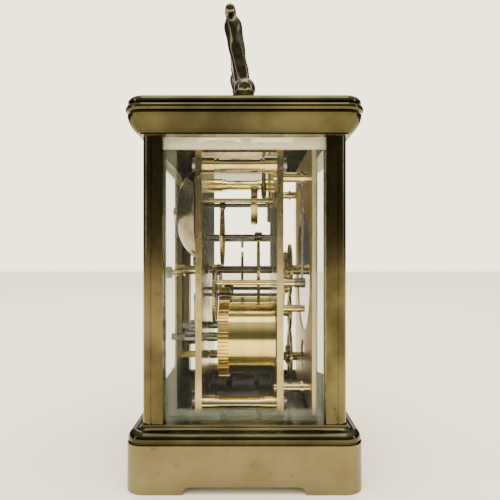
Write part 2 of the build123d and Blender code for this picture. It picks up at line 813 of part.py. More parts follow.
def make_ratchet(place):
    """A ratchet wheel on a barrel's square, and the boss outside it."""
    points = []
    for k in range(ratchet_teeth):
        for radius, part in ((ratchet_radius, 0), (ratchet_radius - 0.8, 0.12)):
            angle = (k + part) * 2 * math.pi / ratchet_teeth
            points.append((radius * math.cos(angle), radius * math.sin(angle)))
    face = make_face(Polyline(*points, close=True))
    start = back_plate_outer + 0.15
    wheel = extrude(Plane.XZ * face, amount=ratchet_thickness)
    wheel = Pos(place[0], start + ratchet_thickness, place[1]) * wheel
    wheel += rod_y(boss_radius, start + ratchet_thickness - 0.1, start + 4.8, *place)
    wheel -= rod_y(barrel_pivot_radius + 0.01, start - 1, boss_front, *place)
    x, z = place
    half = winding_square / 2 + 0.01
    return wheel - box(x - half, x + half, boss_front - 0.51, winding_end, z - half, z + half)


def click_place(side):
    """Where a click turns, up and outside of its barrel's ratchet."""
    return (side * (barrel_x + 6.2), barrel_z + 5.2)


def make_click(side):
    """A click that rests just clear of its ratchet, on its screw."""
    x, z = click_place(side)
    start = back_plate_outer + 0.15
    click = rod_y(1.5, start, start + ratchet_thickness, x, z)
    reach = 3.2
    way = math.degrees(math.atan2(barrel_z - z, side * barrel_x - x))
    nose = box(0, reach, start, start + ratchet_thickness, -0.6, 0.6)
    click += Pos(x, 0, z) * Rot(0, -way, 0) * nose
    return click - rod_y(0.8, start - 1, start + 3, x, z)


def make_click_screw(side):
    """The screw that a click turns on."""
    x, z = click_place(side)
    head = back_plate_outer + 0.25 + ratchet_thickness
    screw = rod_y(pivot_radius, back_plate_inner + 0.2, head, x, z)
    screw += rod_y(0.75, back_plate_outer, head, x, z)
    return screw + rod_y(1.6, head, head + 1.0, x, z)


def make_click_spring(side):
    """A bent blade that presses its click, held on the back plate by its foot."""
    x, z = click_place(side)
    start = back_plate_outer
    foot = rod_y(1.5, start, start + 1.2, x + side * 0.5, z + 9)
    blade = box(x - 0.25 + side * 1.7, x + 0.25 + side * 1.7, start + 0.2, start + 1.1, z + 1.2, z + 9)
    return foot + blade


# levels of the trains along Y, as (front, back)
second_wheel_levels = (10.5, 11.5)
second_pinion_levels = (5.3, 9.2)
centre_wheel_levels = (-5.4, -4.4)
centre_pinion_levels = (9.8, 12.8)
third_pinion_levels = (-6.3, -3.5)
third_wheel_levels = (8.2, 9.2)
contrate_pinion_levels = (7.7, 9.8)
contrate_disc_levels = (-3.0, -2.0)
alarm_wheel_levels = (10.3, 11.1)
alarm_pinion_levels = (9.4, 12.0)
alarm_scape_levels = (1.0, 2.0)
cannon_levels = (-14.3, -13.2)
hour_levels = (-15.7, -14.7)
alarm_drive_levels = (-17.4, -16.4)
sleeve_radius = 1.35
slim_arbor_radius = 0.6

# phases, from the barrel outwards, so that every pair is in mesh at rest
going_phase = 0.0
second_pinion_phase = mesh_phase(going_place, barrel_teeth, going_phase, second_place, second_pinion_teeth)
second_phase = 0.0
centre_pinion_phase = mesh_phase(second_place, second_teeth, second_phase, centre_place, centre_pinion_teeth)
centre_phase = 0.0
third_pinion_phase = mesh_phase(centre_place, centre_teeth, centre_phase, third_place, third_pinion_teeth)
third_phase = 0.0
contrate_pinion_phase = mesh_phase(third_place, third_teeth, third_phase, contrate_place, contrate_pinion_teeth)
cannon_phase = 0.0
minute_phase = mesh_phase(centre_place, cannon_teeth, cannon_phase, minute_place, minute_teeth)
minute_pinion_phase = 0.0
hour_phase = mesh_phase(minute_place, minute_pinion_teeth, minute_pinion_phase, centre_place, hour_teeth)
drive_phase = 0.0
idler_phase = mesh_phase(centre_place, alarm_wheel_teeth, drive_phase, idler_place, alarm_idler_teeth)
alarm_wheel_phase = mesh_phase(idler_place, alarm_idler_teeth, idler_phase, alarm_place, alarm_wheel_teeth)
alarm_phase = 0.0
alarm_pinion_phase = mesh_phase(
    alarm_barrel_place, barrel_teeth, alarm_phase, alarm_second_place, second_pinion_teeth
)
alarm_second_phase = 0.0
alarm_scape_pinion_phase = mesh_phase(
    alarm_second_place, second_teeth, alarm_second_phase, alarm_scape_place, third_pinion_teeth
)


def make_second_wheel():
    """The second arbor: its pinion in the great wheel, and its wheel."""
    piece = gear(second_teeth, train_module, second_phase, *second_place, *second_wheel_levels, 0.5, 5)
    piece += gear(
        second_pinion_teeth, barrel_module, second_pinion_phase, *second_place, *second_pinion_levels, 0.5
    )
    return piece + arbor(second_place, shoulder_front, shoulder_back, slim_arbor_radius)


def make_centre_wheel():
    """The centre wheel and pinion on a sleeve round the setting arbor."""
    bore = arbor_radius + running_clearance
    piece = gear(centre_teeth, train_module, centre_phase, *centre_place, *centre_wheel_levels, bore, 5)
    piece += gear(
        centre_pinion_teeth, train_module, centre_pinion_phase, *centre_place, *centre_pinion_levels, bore
    )
    return piece + ring_y(sleeve_radius, bore, shoulder_front, shoulder_back, *centre_place)


def make_third_wheel():
    """The third arbor, pinion and wheel."""
    piece = gear(third_teeth, train_module, third_phase, *third_place, *third_wheel_levels, 0.5, 5)
    piece += gear(
        third_pinion_teeth, train_module, third_pinion_phase, *third_place, *third_pinion_levels, 0.4
    )
    return piece + arbor(third_place, shoulder_front, shoulder_back)


contrate_radius = 7.4
contrate_rim = 0.8
contrate_tooth_length = 1.6


def make_contrate_wheel():
    """The contrate arbor: its pinion, and a crossed wheel with teeth that point to the front."""
    x, z = contrate_place
    front, back = contrate_disc_levels
    face = Circle(contrate_radius) - Circle(contrate_radius - contrate_rim) + Circle(1.9)
    for k in range(4):
        arm = Pos(contrate_radius / 2, 0) * Rectangle(contrate_radius - 1, 0.9)
        face += Rot(0, 0, 90 * k) * arm
    teeth = Sketch()
    for k in range(contrate_teeth):
        tooth = Pos(contrate_radius - contrate_rim / 2, 0) * Rectangle(contrate_rim - 0.1, 0.32)
        teeth += Rot(0, 0, k * 360 / contrate_teeth) * tooth
    piece = Pos(x, back, z) * extrude(Plane.XZ * face, amount=back - front)
    piece += Pos(x, front, z) * extrude(Plane.XZ * teeth, amount=contrate_tooth_length)
    piece += rod_y(contrate_radius - 0.1, front - 0.7, front, x, z) - rod_y(
        contrate_radius - contrate_rim + 0.1, front - 1, front + 1, x, z
    )
    piece += gear(
        contrate_pinion_teeth, train_module, contrate_pinion_phase, x, z, *contrate_pinion_levels, 0.4
    )
    return piece + arbor(contrate_place, shoulder_front, shoulder_back)


def make_alarm_second():
    """The alarm train's second arbor."""
    piece = gear(
        second_teeth, hour_module, alarm_second_phase, *alarm_second_place, *alarm_wheel_levels, 0.5, 5
    )
    piece += gear(
        second_pinion_teeth, barrel_module, alarm_pinion_phase, *alarm_second_place,
        *second_pinion_levels, 0.5,
    )
    return piece + arbor(alarm_second_place, shoulder_front, shoulder_back)


def make_alarm_scape():
    """The alarm's scape wheel, with pointed teeth, on its pinion."""
    x, z = alarm_scape_place
    points = []
    for k in range(alarm_scape_teeth):
        for radius, part in ((6.4, 0), (4.9, 0.3), (4.9, 0.7)):
            angle = (k + part) * 2 * math.pi / alarm_scape_teeth
            points.append((radius * math.cos(angle), radius * math.sin(angle)))
    face = make_face(Polyline(*points, close=True))
    front, back = alarm_scape_levels
    piece = Pos(x, back, z) * extrude(Plane.XZ * face, amount=back - front)
    piece += gear(
        third_pinion_teeth, hour_module, alarm_scape_pinion_phase, x, z, *alarm_pinion_levels, 0.4
    )
    return piece + arbor(alarm_scape_place, shoulder_front, shoulder_back, slim_arbor_radius)


# motion work and hands
setting_end = 26.9
hour_pipe_radius = 1.9
hour_pipe_front = mask_front - 1.6
cannon_radius = 1.35
cannon_front = mask_front - 2.4
minute_hand_length = 20.0
hour_hand_length = 13.5
alarm_hand_length = 5.0
hand_thickness = 0.4


def make_setting_arbor():
    """The arbor of the hands: cannon and its pinion in front, turned knob behind."""
    piece = rod_y(arbor_radius, cannon_front, setting_end - 3, *centre_place)
    piece += rod_y(cannon_radius, cannon_front + 0.6, front_plate_outer - 0.1, *centre_place)
    piece += gear(cannon_teeth, motion_module, cannon_phase, *centre_place, *cannon_levels, 0.5)
    collar = back_plate_outer + 0.1
    for radius, start, end in ((2.3, collar, collar + 2.6), (1.75, collar + 2, 23.5), (2.3, 23.5, setting_end)):
        piece += rod_y(radius, start, end, *centre_place)
    return piece


def make_minute_wheel():
    """The minute wheel and its pinion, on a stud in the front plate."""
    bore = arbor_radius + running_clearance
    piece = gear(minute_teeth, motion_module, minute_phase, *minute_place, *cannon_levels, bore, 4)
    back = cannon_levels[0]
    piece += gear(
        minute_pinion_teeth, hour_module, minute_pinion_phase, *minute_place, hour_levels[0], back, bore
    )
    return piece


def make_stud(place, end):
    """A stud in the front plate, with a small head that keeps its wheel on."""
    stud = rod_y(arbor_radius, end, front_plate_outer, *place)
    stud += rod_y(pivot_radius, front_plate_outer - 0.5, front_plate_inner - 0.1, *place)
    return stud + rod_y(arbor_radius + 0.5, end - 0.5, end, *place)


def make_hour_wheel():
    """The hour wheel with its long pipe, and the wheel that drives the alarm's."""
    bore = cannon_radius + running_clearance
    piece = gear(hour_teeth, hour_module, hour_phase, *centre_place, *hour_levels, bore)
    piece += gear(alarm_wheel_teeth, alarm_module, drive_phase, *centre_place, *alarm_drive_levels, bore, 5)
    pipe = ring_y(hour_pipe_radius, bore, hour_pipe_front, hour_levels[1], *centre_place)
    return piece + pipe


def make_idler():
    """The wheel between the hour wheel and the alarm wheel."""
    bore = arbor_radius + running_clearance
    wheel = gear(alarm_idler_teeth, alarm_module, idler_phase, *idler_place, *alarm_drive_levels, bore, 4)
    return wheel + ring_y(1.7, bore, alarm_drive_levels[1] - 0.1, front_plate_outer - 0.3, *idler_place)


def make_alarm_wheel():
    """The alarm wheel, loose on the alarm arbor, with its lifting cam behind."""
    bore = arbor_radius + running_clearance
    wheel = gear(
        alarm_wheel_teeth, alarm_module, alarm_wheel_phase, *alarm_place, *alarm_drive_levels, bore, 5
    )
    return wheel + ring_y(3.4, bore, alarm_drive_levels[1] - 0.1, alarm_drive_levels[1] + 1.2, *alarm_place)


def make_alarm_arbor():
    """The arbor that sets the alarm hand, with its square behind."""
    x, z = alarm_place
    piece = rod_y(arbor_radius, mask_front - 1.4, 21, x, z)
    piece += rod_y(1.6, front_plate_inner + 0.2, back_plate_inner - 0.2, x, z)
    piece += rod_y(1.8, back_plate_outer + 0.1, back_plate_outer + 2.5, x, z)
    half = winding_square / 2
    return piece + box(x - half, x + half, 19, winding_end, z - half, z + half)


def hand_blade(length, width, place, front, hole):
    """A slim spade hand that points up, with a round eye."""
    x, z = place
    eye = width + hole * 0.6
    outline = Polyline(
        (-width * 0.3, 0), (-width * 0.45, length * 0.62), (-width, length * 0.74),
        (-width * 0.3, length * 0.86), (0, length), (width * 0.3, length * 0.86),
        (width, length * 0.74), (width * 0.45, length * 0.62), (width * 0.3, 0), close=True,
    )
    face = make_face(outline) + Circle(eye)
    face -= Circle(hole)
    return Pos(x, front + hand_thickness, z) * extrude(Plane.XZ * face, amount=hand_thickness)


def turned(shape, place, degrees):
    """A hand turned clockwise, as the dial shows it, about its arbor."""
    x, z = place
    return Pos(x, 0, z) * Rot(0, degrees, 0) * Pos(-x, 0, -z) * shape


# escapement platform
platform_bottom = plate_top
platform_top = platform_bottom + platform_thickness
escape_y = -7.0
lever_y = -1.9
balance_y = 5.6
escape_level = platform_top + 0.8
lever_level = platform_top + 1.7
balance_level = platform_top + 2.8
balance_radius = 7.0
balance_rim = 0.9
cock_top = platform_top + 5.7
escape_pivot_level = contrate_place[1] + arbor_radius + 0.2
cock_foot_y = 14.0
staff_radius = 0.35
platform_screw_x = 12.5


def make_platform():
    """The platform across the tops of the plates, with its holes."""
    half = platform_width / 2
    plate = box(-half, half, front_plate_outer, back_plate_outer, platform_bottom, platform_top)
    plate = fillet(plate.edges().filter_by(Axis.Z), plate_corner)
    for y in (escape_y, lever_y, balance_y):
        plate -= rod_z(staff_radius + running_clearance, platform_bottom - 1, platform_top + 1, 0, y)
    for x in (-platform_screw_x, platform_screw_x):
        for y in (front_plate_outer + 1, back_plate_outer - 1):
            plate -= rod_z(0.8, platform_bottom - 1, platform_top + 1, x, y)
    plate -= rod_z(0.8, platform_bottom - 1, platform_top + 1, 3.2, cock_foot_y)
    return plate


def make_escape_cock():
    """The hanging bar under the platform that carries the escape arbor's lower pivot."""
    bar = box(-1.2, 1.2, escape_y - 2.6, escape_y - 1.6, escape_pivot_level, platform_bottom)
    bar += box(-1.2, 1.2, escape_y - 2.6, escape_y + 0.9, escape_pivot_level, escape_pivot_level + 1.2)
    return bar - rod_z(staff_radius + running_clearance, escape_pivot_level - 1, escape_pivot_level + 2, 0, escape_y)


def make_escape_wheel():
    """The escape wheel with raked teeth, on its upright arbor and pinion."""
    points = []
    for k in range(15):
        for radius, part in ((3.5, 0), (3.45, 0.09), (2.75, 0.25), (2.75, 0.9)):
            angle = (k + part) * 2 * math.pi / 15
            points.append((radius * math.cos(angle), radius * math.sin(angle)))
    face = make_face(Polyline(*points, close=True)) - Circle(2.1) + Circle(0.9)
    for k in range(4):
        face += Rot(0, 0, 90 * k) * Pos(1.5, 0) * Rectangle(1.5, 0.4)
    wheel = Pos(0, 0, escape_level) * extrude(face, amount=0.45)
    wheel += rod_z(staff_radius, escape_pivot_level + 0.1, escape_level + 1.6, 0, 0)
    wheel += rod_z(0.75, escape_pivot_level + 1.4, platform_bottom - 1, 0, 0)
    for k in range(7):
        leaf = Pos(0.8, 0, escape_pivot_level + 5) * Box(0.5, 0.3, 5)
        wheel += Rot(0, 0, k * 360 / 7) * leaf
    return Pos(0, escape_y, 0) * wheel


def make_lever():
    """The lever with its two pallets towards the escape wheel, and its fork."""
    piece = box(-0.35, 0.35, -0.9, 3.6, lever_level, lever_level + 0.4)
    piece += box(-2.9, 2.9, -1.1, -0.4, lever_level, lever_level + 0.4)
    for side in (-1, 1):
        piece += box(side * 2.6 - 0.3, side * 2.6 + 0.3, -2.6, -0.5, lever_level, lever_level + 0.4)
    piece += rod_z(staff_radius, platform_bottom + 0.3, lever_level + 0.9, 0, 0)
    return Pos(0, lever_y, 0) * piece


def make_balance():
    """The balance: a plain rim on three arms, on its staff, with its roller."""
    face = Circle(balance_radius) - Circle(balance_radius - balance_rim) + Circle(1.0)
    for k in range(3):
        face += Rot(0, 0, 30 + 120 * k) * Pos(balance_radius / 2, 0) * Rectangle(balance_radius - 0.5, 0.8)
    piece = Pos(0, 0, balance_level) * extrude(face, amount=0.9)
    for k in range(12):
        angle = math.radians(30 * k + 15)
        x = (balance_radius - balance_rim / 2) * math.cos(angle)
        y = (balance_radius - balance_rim / 2) * math.sin(angle)
        piece += rod_z(0.35, balance_level + 0.8, balance_level + 1.2, x, y)
    piece += rod_z(staff_radius, platform_bottom + 0.3, cock_top - 0.5, 0, 0)
    return Pos(0, balance_y, 0) * piece


def make_hairspring():
    """The flat spiral over the balance, as one ribbon."""
    turns = 5
    inner = 0.75
    pitch = 0.42
    samples = 12 * turns
    points = []
    for k in range(samples + 1):
        angle = k * math.pi / 6
        radius = inner + pitch * angle / (2 * math.pi)
        points.append((radius * math.cos(angle), radius * math.sin(angle)))
    path = Spline(*points)
    outer = [(p[0] * (1 + 0.12 / math.hypot(*p)), p[1] * (1 + 0.12 / math.hypot(*p))) for p in points]
    other = Spline(*outer)
    ends = [Line(path @ 0, other @ 0), Line(path @ 1, other @ 1)]
    ribbon = extrude(make_face(Curve([path, other] + ends)), amount=0.3)
    print("least gap between the hairspring's turns", round(pitch - 0.12, 2))
    return Pos(0, balance_y, balance_level + 1.1) * ribbon


def make_balance_cock():
    """The cock over the balance, on its foot behind."""
    cock = box(-2.2, 5.2, cock_foot_y - 1.2, cock_foot_y + 1.9, platform_top, cock_top)
    cock += box(-1.5, 1.5, balance_y, cock_foot_y, cock_top - 0.9, cock_top)
    cock += rod_z(1.9, cock_top - 0.9, cock_top, 0, balance_y)
    cock -= rod_z(staff_radius + running_clearance, cock_top - 2, cock_top - 0.45, 0, balance_y)
    return cock - rod_z(0.8, platform_top - 1, cock_top + 1, 3.2, cock_foot_y)


def make_index():
    """The regulator, a ring on the cock with a long pointer and two short curb pins."""
    level = cock_top - 0.9
    ring = rod_z(2.6, level - 0.4, level - 0.05, 0, balance_y) - rod_z(1.0, level - 1, level, 0, balance_y)
    ring += box(-6.5, -2.0, balance_y - 0.3, balance_y + 0.3, level - 0.4, level - 0.05)
    return ring


def make_platform_screws():
    """The screws of the platform, and the cock's."""
    screws = []
    for x in (-platform_screw_x, platform_screw_x):
        for y in (front_plate_outer + 1, back_plate_outer - 1):
            screw = rod_z(0.79, platform_bottom + 0.1, platform_top + 0.1, x, y)
            screws.append(screw + rod_z(1.5, platform_top, platform_top + 0.8, x, y))
    shank = rod_z(0.79, platform_bottom + 0.1, cock_top, 3.2, cock_foot_y)
    screws.append(shank + rod_z(1.3, cock_top, cock_top + 0.5, 3.2, cock_foot_y))
    return screws


# bell and hammer
hammer_head = (10.3, 69.9)
hammer_level = 19.6
hammer_head_radius = 1.9


def make_bell():
    """A thin domed bell, open towards the front, on its post."""
    reach = bell_radius - bell_flat
    middle = (reach**2 + bell_rim**2 - bell_apex**2) / (2 * (bell_rim - bell_apex))
    outer = bell_apex - middle
    inner = outer - bell_wall
    low = math.asin((bell_rim - middle) / outer)
    inner_low = math.asin((bell_rim - middle) / inner)

    def dome(radius, angle):
        return (bell_flat + radius * math.cos(angle), middle + radius * math.sin(angle))

    top = math.pi / 2
    edges = [
        Line((bell_hole, bell_apex), (bell_flat, bell_apex)),
        ThreePointArc((bell_flat, bell_apex), dome(outer, (low + top) / 2), dome(outer, low)),
        Line(dome(outer, low), dome(inner, inner_low)),
        ThreePointArc(
            dome(inner, inner_low), dome(inner, (inner_low + top) / 2), (bell_flat, bell_apex - bell_wall)
        ),
        Line((bell_flat, bell_apex - bell_wall), (bell_hole, bell_apex - bell_wall)),
        Line((bell_hole, bell_apex - bell_wall), (bell_hole, bell_apex)),
    ]
    bell = revolve(make_face(Curve(edges)), Axis.Y)
    return Pos(bell_place[0], 0, bell_place[1]) * bell


def make_bell_post():
    """The post that carries the bell, screwed into the back plate."""
    post = rod_y(bell_post_radius, back_plate_outer, bell_apex - bell_wall, *bell_place)
    post += rod_y(bell_post_radius + 1.1, bell_apex - bell_wall - 1.6, bell_apex - bell_wall - 0.02, *bell_place)
    post += rod_y(screw_radius, back_plate_inner + 0.3, back_plate_outer, *bell_place)
    return post + rod_y(screw_radius, bell_apex - bell_wall, bell_apex + 1.0, *bell_place)


def make_bell_nut():
    """The round nut that holds the bell."""
    nut = rod_y(2.4, bell_apex + 0.02, bell_apex + 1.2, *bell_place)
    return nut - rod_y(screw_radius + 0.01, bell_apex - 1, bell_apex + 3, *bell_place)


def make_hammer():
    """The hammer on its arbor: pallets between the plates, and an arm and head behind."""
    x, z = hammer_place
    piece = rod_y(arbor_radius, shoulder_front, shoulder_back, x, z)
    piece += rod_y(pivot_radius, front_plate_outer, hammer_level + 1.2, x, z)
    piece += rod_y(1.3, back_plate_outer + 0.3, hammer_level + 1.2, x, z)
    piece += box(x - 3.4, x + 3.4, 1.0, 2.0, z - 0.5, z + 0.7)
    for side in (-1, 1):
        piece += box(x + side * 3.1 - 0.4, x + side * 3.1 + 0.4, 1.0, 2.0, z - 3.3, z + 0.2)
    away_x = hammer_head[0] - x
    away_z = hammer_head[1] - z
    reach = math.hypot(away_x, away_z)
    way = math.degrees(math.atan2(away_z, away_x))
    rod = rod_x(0.45, 0, reach, hammer_level, 0)
    piece += Pos(x, 0, z) * Rot(0, -way, 0) * rod
    return piece + rod_y(hammer_head_radius, hammer_level - 1.6, hammer_level + 1.6, *hammer_head)


def make_detent():
    """The arbor that lets the alarm off, with its arm and flag."""
    x, z = detent_place
    piece = arbor(detent_place, shoulder_front, shoulder_back)
    piece += box(x - 0.5, x + 0.5, -8.6, -7.6, z - 7.5, z)
    return piece + rod_y(1.3, -9.2, -7.0, x, z)


release_length = 35.5
release_front = -20.6
release_back = -19.9
release_bore = 1.2 + running_clearance
release_lean = 3


def make_release_lever():
    """The thin lever before the front plate that the alarm cam lifts."""
    x, z = release_place
    piece = ring_y(1.8, release_bore, release_front - 0.7, release_back + 2.3, x, z)
    blade = box(-0.7, 0.7, release_front, release_back, 1.2, release_length)
    blade += box(-3.2, -0.2, release_front, release_back, release_length - 1, release_length)
    blade -= rod_y(release_bore, release_front - 4.4, release_back + 4.9, 0, 0)
    piece += Pos(x, 0, z) * Rot(0, -release_lean, 0) * blade
    return piece


release_stay_radius = 1.05


def make_release_stud():
    """The studs of the release lever and of its spring. The lever's runs on to the second wheel."""
    x, z = release_place
    stud = rod_y(1.2, -21.5, front_plate_outer, x, z) + rod_y(1.45, -17.4, front_plate_outer, x, z)
    stud += rod_y(pivot_radius, front_plate_outer - 0.1, front_plate_inner + 1, x, z)
    stay_front = front_plate_inner + running_clearance
    stud += rod_y(release_stay_radius, stay_front, second_wheel_levels[0] - fit_clearance * 3, x, z)
    spare = rod_y(1.3, -21.4, front_plate_outer, *spare_stud_place)
    spare += rod_y(pivot_radius, front_plate_outer - 0.1, front_plate_inner - 0.1, *spare_stud_place)
    return stud, spare


def make_movement():
    """Keeps every piece of the movement."""
    save("front_plate", make_plate(front_plate_outer, front_plate_inner, True))
    save("back_plate", make_plate(back_plate_inner, back_plate_outer, False))
    save("plate_pillars", *make_pillars())
    places = pillar_places()
    back = [screw_y(x, z, back_plate_outer, back_plate_inner - 2.9, 1) for x, z in places]
    front = [screw_y(x, z, front_plate_outer, front_plate_inner + 2.9, -1) for x, z in places]
    clicks = [make_click_screw(side) for side in (-1, 1)]
    save("plate_screws", *back, *front, *clicks)
    save("dial_posts", *make_dial_posts())
    save("dial_mask", make_mask())
    main = make_dial(main_dial_radius, centre_place, hour_pipe_radius + 0.3)
    save("dials", main, make_dial(alarm_dial_radius, alarm_place, arbor_radius + 0.2))
    for side, name, place, phase in (
        (-1, "going", going_place, going_phase),
        (1, "alarm", alarm_barrel_place, alarm_phase),
    ):
        save(f"{name}_barrel", make_barrel(place, phase))
        save(f"{name}_mainspring", make_mainspring(place))
        save(f"{name}_barrel_arbor", make_barrel_arbor(place), make_ratchet(place))
        save(f"{name}_click", make_click(side))
    save("click_springs", make_click_spring(-1), make_click_spring(1))
    save("second_wheel", make_second_wheel())
    save("centre_wheel", make_centre_wheel())
    save("third_wheel", make_third_wheel())
    save("contrate_wheel", make_contrate_wheel())
    save("alarm_second_wheel", make_alarm_second())
    save("alarm_scape_wheel", make_alarm_scape())
    save("setting_arbor", make_setting_arbor())
    save("minute_wheel", make_minute_wheel())
    save("hour_wheel", make_hour_wheel())
    save("alarm_idler", make_idler())
    save("alarm_wheel", make_alarm_wheel())
    save("alarm_setting_arbor", make_alarm_arbor())
    stud_end = hour_levels[0] - 0.1
    studs = [make_stud(minute_place, stud_end), make_stud(idler_place, alarm_drive_levels[0] - 0.1)]
    save("front_studs", *studs, *make_release_stud())
    minute = hand_blade(minute_hand_length, 1.1, centre_place, cannon_front + 0.1, arbor_radius)
    save("minute_hand", turned(minute, centre_place, 60))
    hour = hand_blade(hour_hand_length, 1.7, centre_place, hour_pipe_front + 0.1, hour_pipe_radius)
    save("hour_hand", turned(hour, centre_place, 305))
    pointer = hand_blade(alarm_hand_length, 0.5, alarm_place, mask_front - 1.2, arbor_radius)
    save("alarm_hand", turned(pointer, alarm_place, 180))
    save("escape_platform", make_platform())
    save("escape_wheel", make_escape_wheel())
    save("lever", make_lever())
    save("balance", make_balance())
    save("hairspring", make_hairspring())
    save("escapement_cocks", make_escape_cock(), make_balance_cock())
    save("regulator_index", make_index())
    save("small_screws", *make_platform_screws(), *make_mask_screws())
    save("bell", make_bell())
    save("bell_post", make_bell_post(), make_bell_nut())
    save("hammer", make_hammer())
    save("alarm_detent", make_detent())
    save("release_lever", make_release_lever())


make_case()
make_movement()
os.makedirs("parts", exist_ok=True)
for name, shape in parts.items():
    export_step(shape, f"parts/{name}.step")
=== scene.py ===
# %% [markdown]
# # A brass carriage alarm clock
# The clock's construction comes ready made and packed, as one object for each piece of the real
# clock. This script dresses it: it gives every piece its finish, models the few pieces whose form
# is better worked out as a surface, and sets a plain studio round it.
# Everything is in metres, in the frame of the packed model: X is the width, the dial looks
# towards -Y, and +Z is up.

# %% Load the packed model
import bpy
import json
import math
import numpy as np
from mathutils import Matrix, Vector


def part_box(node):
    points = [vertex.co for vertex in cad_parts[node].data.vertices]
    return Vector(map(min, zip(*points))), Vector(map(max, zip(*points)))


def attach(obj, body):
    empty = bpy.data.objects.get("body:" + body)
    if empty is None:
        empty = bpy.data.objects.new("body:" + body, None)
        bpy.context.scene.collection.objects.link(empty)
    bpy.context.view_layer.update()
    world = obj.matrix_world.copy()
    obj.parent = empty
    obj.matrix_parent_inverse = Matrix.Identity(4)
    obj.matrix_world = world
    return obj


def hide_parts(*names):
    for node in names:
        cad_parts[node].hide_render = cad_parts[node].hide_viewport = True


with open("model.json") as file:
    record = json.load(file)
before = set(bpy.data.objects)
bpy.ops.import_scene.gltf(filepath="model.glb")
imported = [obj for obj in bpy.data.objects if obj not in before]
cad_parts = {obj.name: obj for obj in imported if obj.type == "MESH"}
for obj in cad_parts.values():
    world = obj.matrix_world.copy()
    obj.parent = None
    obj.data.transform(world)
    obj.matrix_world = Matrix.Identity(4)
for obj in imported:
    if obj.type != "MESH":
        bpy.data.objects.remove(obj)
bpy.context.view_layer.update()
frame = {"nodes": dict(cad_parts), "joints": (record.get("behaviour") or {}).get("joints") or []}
MM = 0.001

# %% [markdown]
# ## Reading places from the pieces
# The dials' middles, the handle's pivot and the panes' edges could be typed in. They are found
# from the boxes of the packed pieces and from the joints instead, so nothing is measured twice
# and the dressing still fits when the construction changes.

# %% Places that the later steps use
joints = {joint["name"]: joint for joint in frame["joints"]}


def joint_place(name):
    """The point that a joint turns about, in metres."""
    return np.array(joints[name]["pos_m"], dtype=float)


def box_of(node):
    """A node's lowest and highest corner, as two arrays."""
    return [np.array(corner, dtype=float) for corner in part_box(node)]


def middle(node):
    """The middle of a node's box."""
    low, high = box_of(node)
    return (low + high) / 2


pivot = joint_place("handle_fold")
dial_middle = joint_place("minute_hand_turn")
alarm_middle = joint_place("alarm_hand_set")
print("handle pivot", pivot, "dial middle", dial_middle, "alarm dial middle", alarm_middle)

# %% [markdown]
# ## Shader maths in plain Python
# A material's pattern is a formula, so it reads best as one. Math nodes could be placed and
# linked by hand, but twenty of them hide the formula. This small class wraps one output of a
# node, and an expression such as `1 - mask * 0.5` adds the Math nodes that work it out.

# %% A value in a material


class Value:
    """One output socket, with operators that add Math nodes."""

    def __init__(self, made, socket):
        self.made = made
        self.socket = socket

    def math(self, operation, *others):
        return self.made.add("ShaderNodeMath", {"operation": operation}, self, *others)

    def __add__(self, other):
        return self.math("ADD", other)

    def __mul__(self, other):
        return self.math("MULTIPLY", other)

    def __sub__(self, other):
        return self.math("SUBTRACT", other)

    def __rsub__(self, other):
        return self.made.add("ShaderNodeMath", {"operation": "SUBTRACT"}, other, self)

    __radd__ = __add__
    __rmul__ = __mul__

    def step(self, low, high):
        """0 below low, 1 above high, and a smooth rise between."""
        smooth = {"interpolation_type": "SMOOTHSTEP"}
        return self.made.add("ShaderNodeMapRange", smooth, self, low, high)


# %% [markdown]
# ## One way to make any node
# Every finish of the clock is a shader with a few patterns: clouds, specks, drawn lines. One
# method makes whatever node is asked for, with its settings first and its sockets after, and the
# short methods below it name the patterns that come back in several finishes.

# %% A finish under way


class Finish:
    """A material under way: one method makes any node."""

    def __init__(self, name):
        self.material = bpy.data.materials.new(name)
        self.material.use_nodes = True
        self.tree = self.material.node_tree
        self.shader = self.tree.nodes["Principled BSDF"]
        self.place = self.add("ShaderNodeTexCoord", {}, output="Object")

    def add(self, kind, settings, *values, output=0, **named):
        """A node of a kind: settings first, then values or links for its sockets."""
        node = self.tree.nodes.new(kind)
        for key, value in settings.items():
            setattr(node, key, value)
        for key, value in list(enumerate(values)) + list(named.items()):
            self.feed(node.inputs[key.replace("_", " ") if isinstance(key, str) else key], value)
        return Value(self, node.outputs[output])

    def feed(self, socket, value):
        """Links a value to a socket, or sets a plain number or colour on it."""
        if isinstance(value, Value):
            self.tree.links.new(value.socket, socket)
        else:
            socket.default_value = value

    def set(self, **named):
        """Sets the shader's own sockets, by number, colour or link."""
        for key, value in named.items():
            self.feed(self.shader.inputs[key.replace("_", " ")], value)

    def noise(self, scale, detail=4.0, stretch=(1, 1, 1), rough=0.55):
        """Clouds about 1/scale metres across, drawn out along an axis by stretch."""
        place = self.add("ShaderNodeMapping", {}, self.place, Scale=stretch)
        sockets = {"Scale": scale, "Detail": detail, "Roughness": rough}
        return self.add("ShaderNodeTexNoise", {}, Vector=place, **sockets)

    def mix(self, mask, dark, light):
        """A colour between two, by a mask from 0 to 1."""
        node = self.tree.nodes.new("ShaderNodeMix")
        node.data_type = "RGBA"
        self.feed(node.inputs[0], mask)
        self.feed(node.inputs[6], dark)
        self.feed(node.inputs[7], light)
        return Value(self, node.outputs[2])

    def axis(self, letter):
        """One coordinate of the surface, in metres."""
        return self.add("ShaderNodeSeparateXYZ", {}, self.place, output="XYZ".index(letter))

    def bump(self, height, distance, strength=0.5):
        """A normal pushed about by a height from 0 to 1, over a distance in metres."""
        sockets = {"Distance": distance, "Strength": strength}
        return self.add("ShaderNodeBump", {}, Height=height, output="Normal", **sockets)


def rgb(red, green, blue):
    """A colour with full cover."""
    return (red, green, blue, 1.0)


print("patterns at hand:", [name for name in vars(Finish) if not name.startswith("_")])

